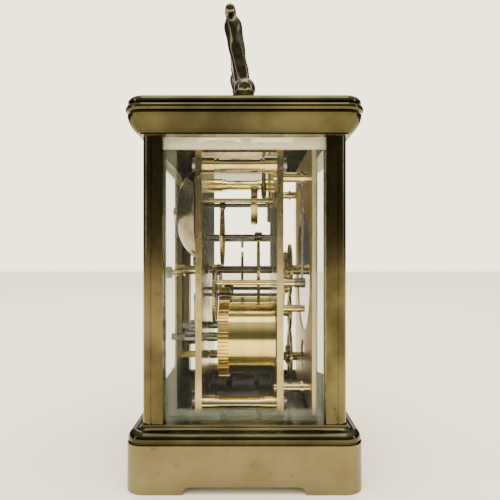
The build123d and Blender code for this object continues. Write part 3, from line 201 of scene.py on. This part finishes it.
# %% [markdown]
# ## Aged brass
# The case is cast and polished brass that has gone brown and olive over the years. Its colour
# shifts in broad clouds, small dark specks sit where the polish never reached, and fine rubbing
# marks run along the work. A photograph of old brass could be laid on it, but it would carry
# its own light with it. So the clouds and specks are worked out: they go into the colour, and
# with the marks into the roughness, and highlights break up as they do on handled metal.

# %% Brass finishes
tarnish = rgb(0.040, 0.034, 0.015)


def speckle(made):
    """Small dark specks: a rough noise, cut near its top."""
    return made.noise(260, 6, rough=0.7).step(0.60, 0.74)


def brass(name, deep, light, rough, specks, grain=(1, 1, 1), scratch=0.25):
    """Aged brass: deep and light are the two colours that its clouds run between."""
    made = Finish(name)
    clouds = made.noise(55, 5).step(0.35, 0.68)
    fine = made.noise(700, 3)
    spots = speckle(made)
    marks = made.noise(900, 2, stretch=grain)
    colour = made.mix(spots * specks, made.mix(clouds, deep, light), tarnish)
    roughness = fine * 0.10 + clouds * -0.05 + spots * 0.22 + marks * scratch * 0.3 + rough
    normal = made.bump(marks * 0.5 + fine * 0.5, 0.04 * MM, scratch)
    made.set(Base_Color=colour, Metallic=1.0, Roughness=roughness, Normal=normal)
    return made.material


upright = (1, 1, 0.06)
case_brass = brass(
    "case_brass", rgb(0.062, 0.051, 0.023), rgb(0.145, 0.121, 0.057), 0.13, 0.7, upright
)
handle_brass = brass("handle_bronze", rgb(0.10, 0.090, 0.054), rgb(0.23, 0.205, 0.122), 0.14, 0.6)
plate_brass = brass(
    "plate_brass", rgb(0.26, 0.225, 0.095), rgb(0.50, 0.43, 0.20), 0.16, 0.35, upright
)
wheel_brass = brass("wheel_brass", rgb(0.24, 0.20, 0.080), rgb(0.46, 0.385, 0.17), 0.18, 0.35)
pillar_brass = brass("pillar_brass", rgb(0.62, 0.51, 0.20), rgb(0.88, 0.76, 0.38), 0.09, 0.2)
bell_brass = brass("bell_metal", rgb(0.15, 0.135, 0.082), rgb(0.27, 0.245, 0.155), 0.12, 0.4)
print("brass finishes run from", case_brass.name, "to", pillar_brass.name)

# %% [markdown]
# ## Base and cornice
# The flat sides of the plinth and the top of the cornice are pale. The mouldings between are
# painted dark, a painted reflection of a dim room, but bright along their edges. Each piece could
# be cut in two to take two finishes. One finish that changes with the height does the same, and
# the piece stays whole.

# %% Brass that is dark between two levels
level = (0.08, 0.08, 1)
plinth_top = 14.7
case_top = float(box_of("cornice")[1][2]) / MM
pale_top_depth = 0.3


def moulded_brass(name):
    """Pale below the plinth's top and on the cornice's top, with a painted dark reflection between.
    """
    made = Finish(name)
    height = made.axis("Z")
    above = height.step((plinth_top - 0.2) * MM, (plinth_top + 0.1) * MM)
    edge = case_top - pale_top_depth
    # Painted shade: between the two levels the colour turns dark, a painted reflection of a dim
    # room, and the roughness drops.
    dark_reflection_mask = above - height.step(edge * MM, (edge + 0.1) * MM)
    clouds = made.noise(48, 5).step(0.3, 0.7)
    fine = made.noise(700, 3)
    spots = speckle(made)
    marks = made.noise(900, 2, stretch=level)
    pale = made.mix(clouds, rgb(0.155, 0.134, 0.068), rgb(0.215, 0.186, 0.098))
    # Painted reflection: this dark colour stands in for a dim room mirrored in the mouldings.
    dark = made.mix(clouds, rgb(0.042, 0.038, 0.017), rgb(0.095, 0.085, 0.040))
    colour = made.mix(spots * 0.6, made.mix(dark_reflection_mask, pale, dark), tarnish)
    roughness = fine * 0.08 + spots * 0.2 + marks * 0.06 + dark_reflection_mask * -0.16 + 0.24
    normal = made.bump(marks * 0.5 + fine * 0.5, 0.03 * MM, 0.35)
    made.set(Base_Color=colour, Metallic=1.0, Roughness=roughness, Normal=normal)
    return made.material


plinth_brass = moulded_brass("plinth_brass")
cornice_brass = moulded_brass("cornice_brass")
print("mouldings are dark from", plinth_top, "to", round(case_top - pale_top_depth, 2), "mm up")

# %% [markdown]
# ## Wheels on steel arbors
# A train wheel is brass, but its arbor and pinion are steel, and the packed piece holds them as
# one. Faces could be sorted into two materials. The distance from the wheel's own axis says
# the same in one formula: within the hub it is steel, and further out it is brass.

# %% Wheel and arbor finish
hub_radius = 2.05


def wheel_finish(node):
    """Steel where sqrt(dx^2 + dz^2) from the wheel's axis is under the hub's radius, else brass."""
    made = Finish(f"{node}_finish")
    x, _, z = [float(value) for value in middle(node)]
    across = made.axis("X") - x
    up = made.axis("Z") - z
    distance = (across * across + up * up).math("SQRT")
    wheel = distance.step((hub_radius - 0.1) * MM, (hub_radius + 0.1) * MM)
    clouds = made.noise(55, 5).step(0.35, 0.68)
    fine = made.noise(900, 3)
    hub_steel = made.mix(clouds, rgb(0.075, 0.072, 0.062), rgb(0.17, 0.163, 0.145))
    rim_brass = made.mix(clouds, rgb(0.30, 0.25, 0.10), rgb(0.54, 0.45, 0.20))
    made.set(Base_Color=made.mix(wheel, hub_steel, rim_brass), Metallic=1.0)
    made.set(Roughness=fine * 0.12 + 0.16, Normal=made.bump(fine, 0.03 * MM, 0.25))
    return made.material


train_wheels = (
    "second_wheel centre_wheel third_wheel contrate_wheel alarm_second_wheel alarm_scape_wheel"
).split()
train_finishes = [(wheel_finish(node), node) for node in train_wheels]
print("made", len(train_finishes), "finishes for wheels with steel arbors")

# %% [markdown]
# ## Turned brass and gilding
# The spring barrels were turned in a lathe, which leaves faint rings round them. Cutting rings
# into the mesh would cost many faces for marks finer than a hair. Noise that changes along
# the axis alone gives them. The mask behind the dial is gilt and matt, with a fine even
# grain, and that is noise too, far finer.

# %% Barrel and mask


def turned_brass(name):
    """Bright brass with lathe rings: noise that varies along Y only."""
    made = Finish(name)
    along = (0.01, 1, 0.01)
    rings = made.noise(1800, 3, stretch=along)
    bands = made.noise(240, 2, stretch=along).step(0.3, 0.7)
    colour = made.mix(bands * 0.4 + rings * 0.2, rgb(0.70, 0.56, 0.15), rgb(0.93, 0.80, 0.34))
    made.set(Base_Color=colour, Metallic=1.0, Roughness=rings * 0.05 + 0.11)
    made.set(Normal=made.bump(rings, 0.01 * MM, 0.2))
    return made.material


def gilt(name):
    """Matt gilt brass with a fine all over grain, as on a dial mask."""
    made = Finish(name)
    grain = made.noise(2200, 2)
    clouds = made.noise(60, 4).step(0.3, 0.7)
    colour = made.mix(clouds, rgb(0.62, 0.50, 0.22), rgb(0.72, 0.59, 0.29))
    made.set(Base_Color=colour, Metallic=1.0, Roughness=grain * 0.25 + 0.30)
    made.set(Normal=made.bump(grain, 0.05 * MM, 0.6))
    return made.material


barrel_brass = turned_brass("barrel_brass")
gilt_brass = gilt("gilt_mask")
print("made", barrel_brass.name, "and", gilt_brass.name)

# %% [markdown]
# ## Steel, enamel and paint
# Arbors and springs are polished steel, grey with faint drawn lines. The hands are blued: heat
# gives them a thin deep blue skin. The dials are white glass fused on copper, glossy in front
# and dull copper behind. One enamel finish could not show both sides, so it turns to copper
# at the level of the dials' back.

# %% Steel, enamel and paint


def steel(name, dark, light, rough):
    """Polished steel with drawn lines along Y."""
    made = Finish(name)
    drawn = made.noise(1500, 2, stretch=(1, 0.05, 1))
    clouds = made.noise(150, 3).step(0.3, 0.7)
    made.set(Base_Color=made.mix(clouds, dark, light), Metallic=1.0, Roughness=drawn * 0.15 + rough)
    made.set(Normal=made.bump(drawn, 0.03 * MM, 0.3))
    return made.material


def enamel(name, node):
    """White fired enamel with a clear coat and faint clouding, and a dull dark copper back."""
    made = Finish(name)
    clouds = made.noise(90, 4).step(0.3, 0.7)
    white = made.mix(clouds, rgb(0.80, 0.785, 0.73), rgb(0.88, 0.87, 0.82))
    far = float(box_of(node)[1][1])
    back = made.axis("Y").step(far - 0.35 * MM, far - 0.15 * MM)
    made.set(Base_Color=made.mix(back, white, rgb(0.10, 0.075, 0.045)))
    made.set(Roughness=clouds * 0.05 + 0.12, Coat_Weight=0.6, Coat_Roughness=0.03)
    return made.material


def paint(name):
    """Black enamel paint of the numerals."""
    made = Finish(name)
    grain = made.noise(1200, 2)
    made.set(Base_Color=made.mix(grain, rgb(0.010, 0.010, 0.012), rgb(0.022, 0.021, 0.022)))
    made.set(Roughness=0.35)
    return made.material


arbor_steel = steel("arbor_steel", rgb(0.13, 0.125, 0.11), rgb(0.30, 0.285, 0.26), 0.18)
screw_steel = steel("screw_steel", rgb(0.16, 0.15, 0.15), rgb(0.34, 0.33, 0.33), 0.22)
blue_steel = steel("blued_steel", rgb(0.012, 0.020, 0.075), rgb(0.030, 0.050, 0.170), 0.16)
white_enamel = enamel("white_enamel", "dials")
black_paint = paint("numeral_paint")
print("made", arbor_steel.name, screw_steel.name, blue_steel.name, white_enamel.name)

# %% [markdown]
# ## Bevelled glass
# Each pane is nearly clear, but it has a ground and polished bevel round it, which bends and
# catches light, so the border shows as a pale band. Real refraction through four panes needs
# many light paths and comes out dark or noisy. Here a pane lets the view through by its
# alpha, a little less on the bevel and at its rim, and the pane's own box says where the
# bevel is. The bevel's greener tint and extra cover are partly the glass's own edge colour and
# partly painted light for the bent light. The bevel along the top of a side pane gets a painted
# highlight, a cream glare for light from above.

# %% Glass finishes
bevel_width = 3.8
slot_hidden = 1.6
door_hidden = 0.9
half_step = 0.05 * MM


def pane_glass(name, node, across, borders, glare):
    """A clear pane. A point is on the bevel where it is near the pane's edge along either way."""
    made = Finish(name)
    low, high = box_of(node)
    masks = []
    for letter, border in zip(across, borders):
        k = "XYZ".index(letter)
        off = (made.axis(letter) - float((high[k] + low[k]) / 2)).math("ABSOLUTE")
        edge = float((high[k] - low[k]) / 2) - border * MM
        masks.append(off.step(edge - half_step, edge + half_step))
    bevel = masks[0].math("MAXIMUM", masks[1])
    inner_edge = float(high[2]) - bevel_width * MM
    # Painted highlight: near the pane's top the colour turns cream and the cover rises by glare.
    top = made.axis("Z").step(inner_edge, inner_edge + 0.2 * MM)
    smear = made.noise(40, 4).step(0.45, 0.8)
    rim = made.add("ShaderNodeLayerWeight", {}, Blend=0.25, output="Fresnel")
    alpha = bevel * 0.10 + bevel * top * glare + smear * 0.008 + rim * 0.16 + 0.006
    # Partly painted light: the bevel's tint and cover stand for light bent in the bevel, as well as
    # the glass's own edge colour.
    clear = made.mix(bevel, rgb(0.50, 0.53, 0.44), rgb(0.40, 0.46, 0.33))
    made.set(Base_Color=made.mix(top, clear, rgb(0.86, 0.83, 0.60)), Alpha=alpha)
    made.set(Roughness=smear * 0.06 + 0.02, Specular_IOR_Level=1.0)
    made.set(Coat_Weight=1.0, Coat_Roughness=0.02)
    return made.material


slotted = (bevel_width + slot_hidden, bevel_width)
framed = (bevel_width + door_hidden, bevel_width + door_hidden)
side_glass = pane_glass("side_glass", "side_glasses", "YZ", slotted, 0.42)
front_glass = pane_glass("front_glass", "front_glass", "XZ", slotted, 0.10)
door_glass = pane_glass("door_glass", "rear_door_glass", "XZ", framed, 0.10)
top_glass = pane_glass("top_glass", "top_glass", "XY", (bevel_width, bevel_width), 0.02)
print("panes have a bevel of", bevel_width, "mm")

# %% [markdown]
# ## Giving each piece its finish
# Each packed piece keeps its shape, and only its material changes. The pieces could be dressed
# one by one, but many share a finish, so the list below pairs a finish with all of its pieces.

# %% Finishes on the packed pieces
finishes = train_finishes + [
    (case_brass, "corner_posts rear_door_frame rear_door_knob"),
    (cornice_brass, "cornice"),
    (plinth_brass, "base"),
    (handle_brass, "handle_arms handle_grip handle_posts"),
    (plate_brass, "front_plate back_plate escapement_cocks"),
    (pillar_brass, "plate_pillars dial_posts setting_arbor bell_post front_studs"),
    (wheel_brass, "minute_wheel hour_wheel alarm_idler alarm_wheel balance escape_wheel"),
    (wheel_brass, "escape_platform alarm_setting_arbor alarm_detent"),
    (barrel_brass, "going_barrel alarm_barrel"),
    (gilt_brass, "dial_mask"),
    (bell_brass, "bell"),
    (arbor_steel, "going_barrel_arbor alarm_barrel_arbor going_click alarm_click lever hammer"),
    (arbor_steel, "release_lever rear_door_hinge_pins handle_pivot_pins click_springs"),
    (screw_steel, "base_screws plate_screws small_screws regulator_index"),
    (blue_steel, "minute_hand hour_hand alarm_hand hairspring going_mainspring alarm_mainspring"),
    (side_glass, "side_glasses"),
    (front_glass, "front_glass"),
    (door_glass, "rear_door_glass"),
    (top_glass, "top_glass"),
    (white_enamel, "dials"),
]
for material, names in finishes:
    for name in names.split():
        mesh = frame["nodes"][name].data
        mesh.materials.clear()
        mesh.materials.append(material)
print("finished", sum(len(names.split()) for _, names in finishes), "pieces")

# %% [markdown]
# ## Surfaces from two numbers
# Turned and forged bars could be made with a curve and a bevel profile. A grid of points gives
# closer control: the first parameter runs along the piece, the second runs round it, and each
# point's place is a formula. One helper turns such a grid into a closed mesh, whose ends are
# each closed with a fan, and says which body it rides.

# %% From a grid to a piece


def add_piece(name, vertices, faces, material, body):
    """A mesh object at the origin that rides a body."""
    mesh = bpy.data.meshes.new(name)
    mesh.from_pydata(vertices.tolist(), [], faces)
    mesh.materials.append(material)
    piece = bpy.data.objects.new(name, mesh)
    bpy.context.scene.collection.objects.link(piece)
    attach(piece, body)
    return piece


def grid_piece(name, points, body, material):
    """A closed tube from an array of rings, of shape (rings, points in a ring, 3)."""
    rings, around, _ = points.shape
    ends = points[[0, -1]].mean(axis=1)
    vertices = np.concatenate([points.reshape(-1, 3), ends])
    i, j = np.meshgrid(np.arange(rings - 1) * around, np.arange(around), indexing="ij")
    after = (j + 1) % around
    quads = np.stack([i + j, i + after, i + around + after, i + around + j], -1)
    k = np.arange(around)
    following = (k + 1) % around
    last = (rings - 1) * around
    first_cap = np.stack([following, k, np.full(around, rings * around)], -1)
    last_cap = np.stack([last + k, last + following, np.full(around, rings * around + 1)], -1)
    faces = quads.reshape(-1, 4).tolist() + first_cap.tolist() + last_cap.tolist()
    piece = add_piece(name, vertices, faces, material, body)
    piece.data.shade_smooth()
    return piece


print("a grid piece closes its ends with fans")

# %% [markdown]
# ## The handle's arms
# Each arm is a forged bar that swells from a neck above its ball to a shoulder under the grip.
# Its side shows three soft beads, and four shallow flutes run up it with a slight twist. The
# radius is a product of simple waves, which is easier to tune than a carved mesh. The arm
# leans with the packed handle, so its axis is found from the pivot and from the grip.

# %% Places of the handle's arms
grip_middle = middle("handle_grip")
lean = math.atan2(grip_middle[1] - pivot[1], grip_middle[2] - pivot[2])
grip_length = float(np.hypot(*(grip_middle[1:] - pivot[1:])))
arm_radius = 3.1
arm_middle = box_of("handle_arms")[1][0] - arm_radius * MM
full_turn = 2 * np.pi
print("handle leans", round(math.degrees(lean), 1), "degrees")

# %% Handle arms
shoulder_share = 0.825
bead_spacing = 0.283
flute_turns = 0.35


def leaning(x, along, out):
    """Points at a distance along the arm's leaning axis and a distance out from it."""
    y = pivot[1] + along * math.sin(lean) + out * math.cos(lean)
    z = pivot[2] + along * math.cos(lean) - out * math.sin(lean)
    return np.stack([x, y, z], -1)


def arm_points(side, rings=220, around=64):
    """Rings with radius = swell * neck * shoulder * beads * flutes, share from 0 to 1 up the arm.

    swell = 2.42 + 0.50 share, beads = 1 + 0.035 cos(2 pi (share - shoulder) / spacing), and
    flutes = 1 + 0.05 cos(4 (angle - twist)). The neck and the shoulder narrow the two ends.
    """
    share = np.linspace(0, 1, rings)[:, None]
    angle = np.linspace(0, full_turn, around, endpoint=False)[None, :]
    start = 1.6 * MM
    height = start + share * (grip_length - start - 0.4 * MM)
    neck = 0.66 + 0.34 * np.sin(np.clip(share / 0.16, 0, 1) * np.pi / 2)
    shoulder = 1 - 0.40 * np.clip((share - 0.85) / 0.12, 0, 1) ** 1.6
    beads = 1 + 0.035 * np.cos(full_turn * (share - shoulder_share) / bead_spacing)
    fade = np.clip(share * 8, 0, 1) * np.clip((1 - share) * 9, 0, 1)
    twist = side * share * flute_turns * full_turn
    flutes = 1 + 0.05 * fade * np.cos(4 * (angle - twist))
    radius = MM * (2.42 + 0.50 * share) * neck * shoulder * beads * flutes
    along = np.broadcast_to(height, radius.shape)
    return leaning(side * arm_middle + radius * np.cos(angle), along, radius * np.sin(angle))


def boss_points(side, reach, half, distance, rings=24, around=48):
    """A boss along X: radius = reach * (1 - 0.75 u^6)^0.5, u from -1 to 1 across the arm."""
    u = np.linspace(-1, 1, rings)[:, None]
    angle = np.linspace(0, full_turn, around, endpoint=False)[None, :]
    radius = reach * np.sqrt(1 - np.abs(u) ** 6 * 0.75)
    x = np.broadcast_to(side * arm_middle + u * half, (rings, around))
    y = pivot[1] + distance * math.sin(lean) + radius * np.sin(angle)
    z = pivot[2] + distance * math.cos(lean) + radius * np.cos(angle)
    return np.stack([x, y, z], -1)


for side, word in ((-1, "left"), (1, "right")):
    forms = {
        "arm": arm_points(side),
        "eye": boss_points(side, 2.4 * MM, 1.45 * MM, 0),
        "knuckle": boss_points(side, 1.9 * MM, 2.1 * MM, grip_length),
    }
    for form, points in forms.items():
        piece = grid_piece(f"handle_{form}_{word}", points, "handle", handle_brass)
        if (form, side) == ("arm", -1):
            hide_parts("handle_arms")
print("handle arms are", round(grip_length / MM, 1), "mm from pivot to grip")

# %% [markdown]
# ## The dials' figures
# Roman figures are painted round the main dial, each with its foot to the middle, with a ring of
# minute marks outside. The small alarm dial below has plain figures. A picture of a dial could be
# laid on, but it blurs close by and is lost with the image. So the figures are letters of
# Blender's own font, made into thin meshes, and the marks are small blocks worked out at once.

# %% Shapes of figures and marks
dial_face = box_of("dials")[0][1]
paint_rise = 0.03 * MM


def on_dial(centre, angle, right, up):
    """X and Z of a point right and up in a frame that is turned clockwise by an angle."""
    x = centre[0] + right * np.cos(angle) + up * np.sin(angle)
    z = centre[2] - right * np.sin(angle) + up * np.cos(angle)
    return x, z


def figure(text, height, centre, angle, radius):
    """A figure painted at a clockwise angle from the top, with its foot towards the middle."""
    curve = bpy.data.curves.new(f"figure_{text}", "FONT")
    curve.body = text
    curve.size = height
    curve.align_x = "CENTER"
    curve.align_y = "CENTER"
    curve.extrude = paint_rise / 2
    letter = bpy.data.objects.new("letter", curve)
    mesh = bpy.data.meshes.new_from_object(letter)
    bpy.data.objects.remove(letter)
    points = np.empty(len(mesh.vertices) * 3)
    mesh.vertices.foreach_get("co", points)
    points = points.reshape(-1, 3)
    right, up = (points[:, k] - (points[:, k].min() + points[:, k].max()) / 2 for k in (0, 1))
    x, z = on_dial(centre, angle, right, up + radius)
    y = dial_face - paint_rise / 2 - points[:, 2]
    faces = [tuple(polygon.vertices)[::-1] for polygon in mesh.polygons]
    bpy.data.meshes.remove(mesh)
    return np.stack([x, y, z], -1), faces


def marks(centre, radius, length, width, count, long_every, longer):
    """Short blocks round a circle: every so many is longer. Corners are worked out as one array."""
    angle = np.arange(count)[:, None] * full_turn / count
    reach = np.where(np.arange(count) % long_every == 0, longer, length)[:, None]
    right = np.array([[-1, 1, 1, -1, -1, 1, 1, -1]]) * width / 2
    up = radius + np.array([[0, 0, 1, 1, 0, 0, 1, 1]]) * reach
    x, z = on_dial(centre, angle, right, up)
    y = dial_face - np.array([[0, 0, 0, 0, 1, 1, 1, 1]]) * paint_rise
    block = [(0, 1, 2, 3), (7, 6, 5, 4), (0, 4, 5, 1), (1, 5, 6, 2), (2, 6, 7, 3), (3, 7, 4, 0)]
    faces = [tuple(8 * k + v for v in face) for k in range(count) for face in block]
    return np.stack([x, np.broadcast_to(y, x.shape), z], -1).reshape(-1, 3), faces


def painted(name, shapes):
    """One piece from several (points, faces) shapes."""
    vertices = np.concatenate([points for points, _ in shapes])
    starts = np.cumsum([0] + [len(points) for points, _ in shapes[:-1]])
    faces = [tuple(v + int(s) for v in face) for (_, fs), s in zip(shapes, starts) for face in fs]
    return add_piece(name, vertices, faces, black_paint, "case")


print("the dials' face is at", round(dial_face / MM, 2), "mm along Y")

# %% Figures of both dials
roman = "XII I II III IIII V VI VII VIII IX X XI".split()
hour_angles = [math.radians(30 * hour) for hour in range(12)]
main_shapes = [
    figure(text, 5.4 * MM, dial_middle, angle, 16.6 * MM) for text, angle in zip(roman, hour_angles)
]
main_shapes.append(marks(dial_middle, 20.3 * MM, 0.9 * MM, 0.16 * MM, 60, 5, 1.5 * MM))
small_shapes = [
    figure(str(hour or 12), 1.5 * MM, alarm_middle, hour_angles[hour], 4.55 * MM)
    for hour in (0, 3, 6, 9)
]
small_shapes.append(marks(alarm_middle, 5.4 * MM, 0.4 * MM, 0.10 * MM, 24, 2, 0.7 * MM))
painted("main_dial_figures", main_shapes)
painted("alarm_dial_figures", small_shapes)
print("painted", len(main_shapes) - 1, "roman and", len(small_shapes) - 1, "plain figures")

# %% [markdown]
# ## A pale floor
# The clock stands on a plain pale floor. A floor of one flat tone looks like paper, so very broad
# and faint clouds go over it. It is a stage, and no piece of the clock.

# %% Floor


def plain(name, colour, rough):
    """A matt finish whose tone changes by three parts in a hundred, in clouds a hand broad."""
    made = Finish(name)
    clouds = made.noise(7, 3).step(0.3, 0.7)
    shade = rgb(*[0.97 * part for part in colour[:3]])
    made.set(Base_Color=made.mix(clouds, shade, colour), Roughness=rough)
    return made.material


def floor_sheet(name, half, material):
    """A flat square stage at the level that the clock stands on."""
    corners = [(-half, -half, 0), (half, -half, 0), (half, half, 0), (-half, half, 0)]
    mesh = bpy.data.meshes.new(name)
    mesh.from_pydata(corners, [], [(0, 1, 2, 3)])
    mesh.materials.append(material)
    stage = bpy.data.objects.new(name, mesh)
    bpy.context.scene.collection.objects.link(stage)


floor_half = 2.0
floor_sheet("floor", floor_half, plain("pale_stage", rgb(0.90, 0.83, 0.71), 0.85))
print("the floor is", 2 * floor_half, "m wide")

# %% [markdown]
# ## Lamps
# A few soft flat lamps stand above and beside the clock. One big lamp would light the brass
# evenly and flatly. A broad one overhead and narrow ones at the sides draw thin bright lines
# along the mouldings instead.

# %% Lamps
lamp_colour = (1.0, 0.96, 0.90)
clock_middle = np.array([0, 0, 0.07])


def lamp(name, place, width, height, power):
    """A soft flat lamp at a place, turned to the clock's middle."""
    light = bpy.data.lights.new(name, "AREA")
    light.shape = "RECTANGLE"
    light.size = width
    light.size_y = height
    light.energy = power
    light.color = lamp_colour
    holder = bpy.data.objects.new(name, light)
    holder.location = place
    way = clock_middle - np.array(place)
    yaw = math.atan2(way[1], way[0]) - math.pi / 2
    pitch = math.atan2(way[2], math.hypot(way[0], way[1])) + math.pi / 2
    holder.rotation_euler = (pitch, 0, yaw)
    bpy.context.scene.collection.objects.link(holder)


lamps = [
    ("ceiling", (-0.10, 0.0, 0.75), 0.5, 0.7, 3.5),
    ("window_left", (-0.30, 0.70, 0.30), 0.10, 0.5, 0.7),
    ("window_right", (-0.25, -0.75, 0.30), 0.10, 0.5, 0.7),
    ("far_side", (0.75, 0.1, 0.45), 0.6, 0.3, 1.2),
]
for name, place, width, height, power in lamps:
    lamp(name, place, width, height, power)
print("lit by", len(lamps), "lamps")

# %% [markdown]
# ## The room round the clock
# Brass is a mirror of its room: in the photograph it is dark where it reflects the dim room
# before it, while the wall behind is bright. A room with walls could be built. Here the world
# gives three tones, by what the ray is: pale cream where it is looked at, an even light where
# it falls on matt surfaces, and a dim tone that brightens overhead where it is reflected.

# %% Room


class Room(Finish):
    """The world under way: it makes its nodes as a finish does."""

    def __init__(self, name):
        self.world = bpy.data.worlds.new(name)
        self.world.use_nodes = True
        self.tree = self.world.node_tree
        self.shader = self.tree.nodes["Background"]
        self.place = self.add("ShaderNodeTexCoord", {}, output="Generated")


room = Room("room")
mirrored = room.add("ShaderNodeLightPath", {}, output="Is Glossy Ray")
seen = room.add("ShaderNodeLightPath", {}, output="Is Camera Ray")
overhead = room.axis("Z").step(0.30, 0.95)
unreflected = room.mix(seen, rgb(2.85, 2.60, 2.10), rgb(3.70, 3.22, 2.40))
reflected = room.mix(overhead, rgb(0.075, 0.071, 0.064), rgb(1.00, 0.96, 0.88))
room.set(Color=room.mix(mirrored, unreflected, reflected), Strength=1.0)
bpy.context.scene.world = room.world
print("the room is", room.world.name)

# %% [markdown]
# ## The camera
# The photograph looks level at the clock's side from close by, so near edges stand well outside
# far ones. A longer lens from further off would lose that. The camera is 192 mm from the
# clock's middle and 72 mm up, and its picture is as wide as its distance. A small shift puts
# the horizon where the photograph has it.

# %% Camera
sensor = 36
camera_data = bpy.data.cameras.new("camera")
camera_data.sensor_width = sensor
camera_data.lens = sensor
camera_data.shift_y = 0.01
camera_data.clip_start = 0.01
camera = bpy.data.objects.new("camera", camera_data)
camera.location = (-0.192, -0.0017, 0.0722)
camera.rotation_euler = (math.pi / 2, 0, -math.pi / 2)
bpy.context.scene.collection.objects.link(camera)
bpy.context.scene.camera = camera
print("the camera is at", tuple(camera.location))

# %% [markdown]
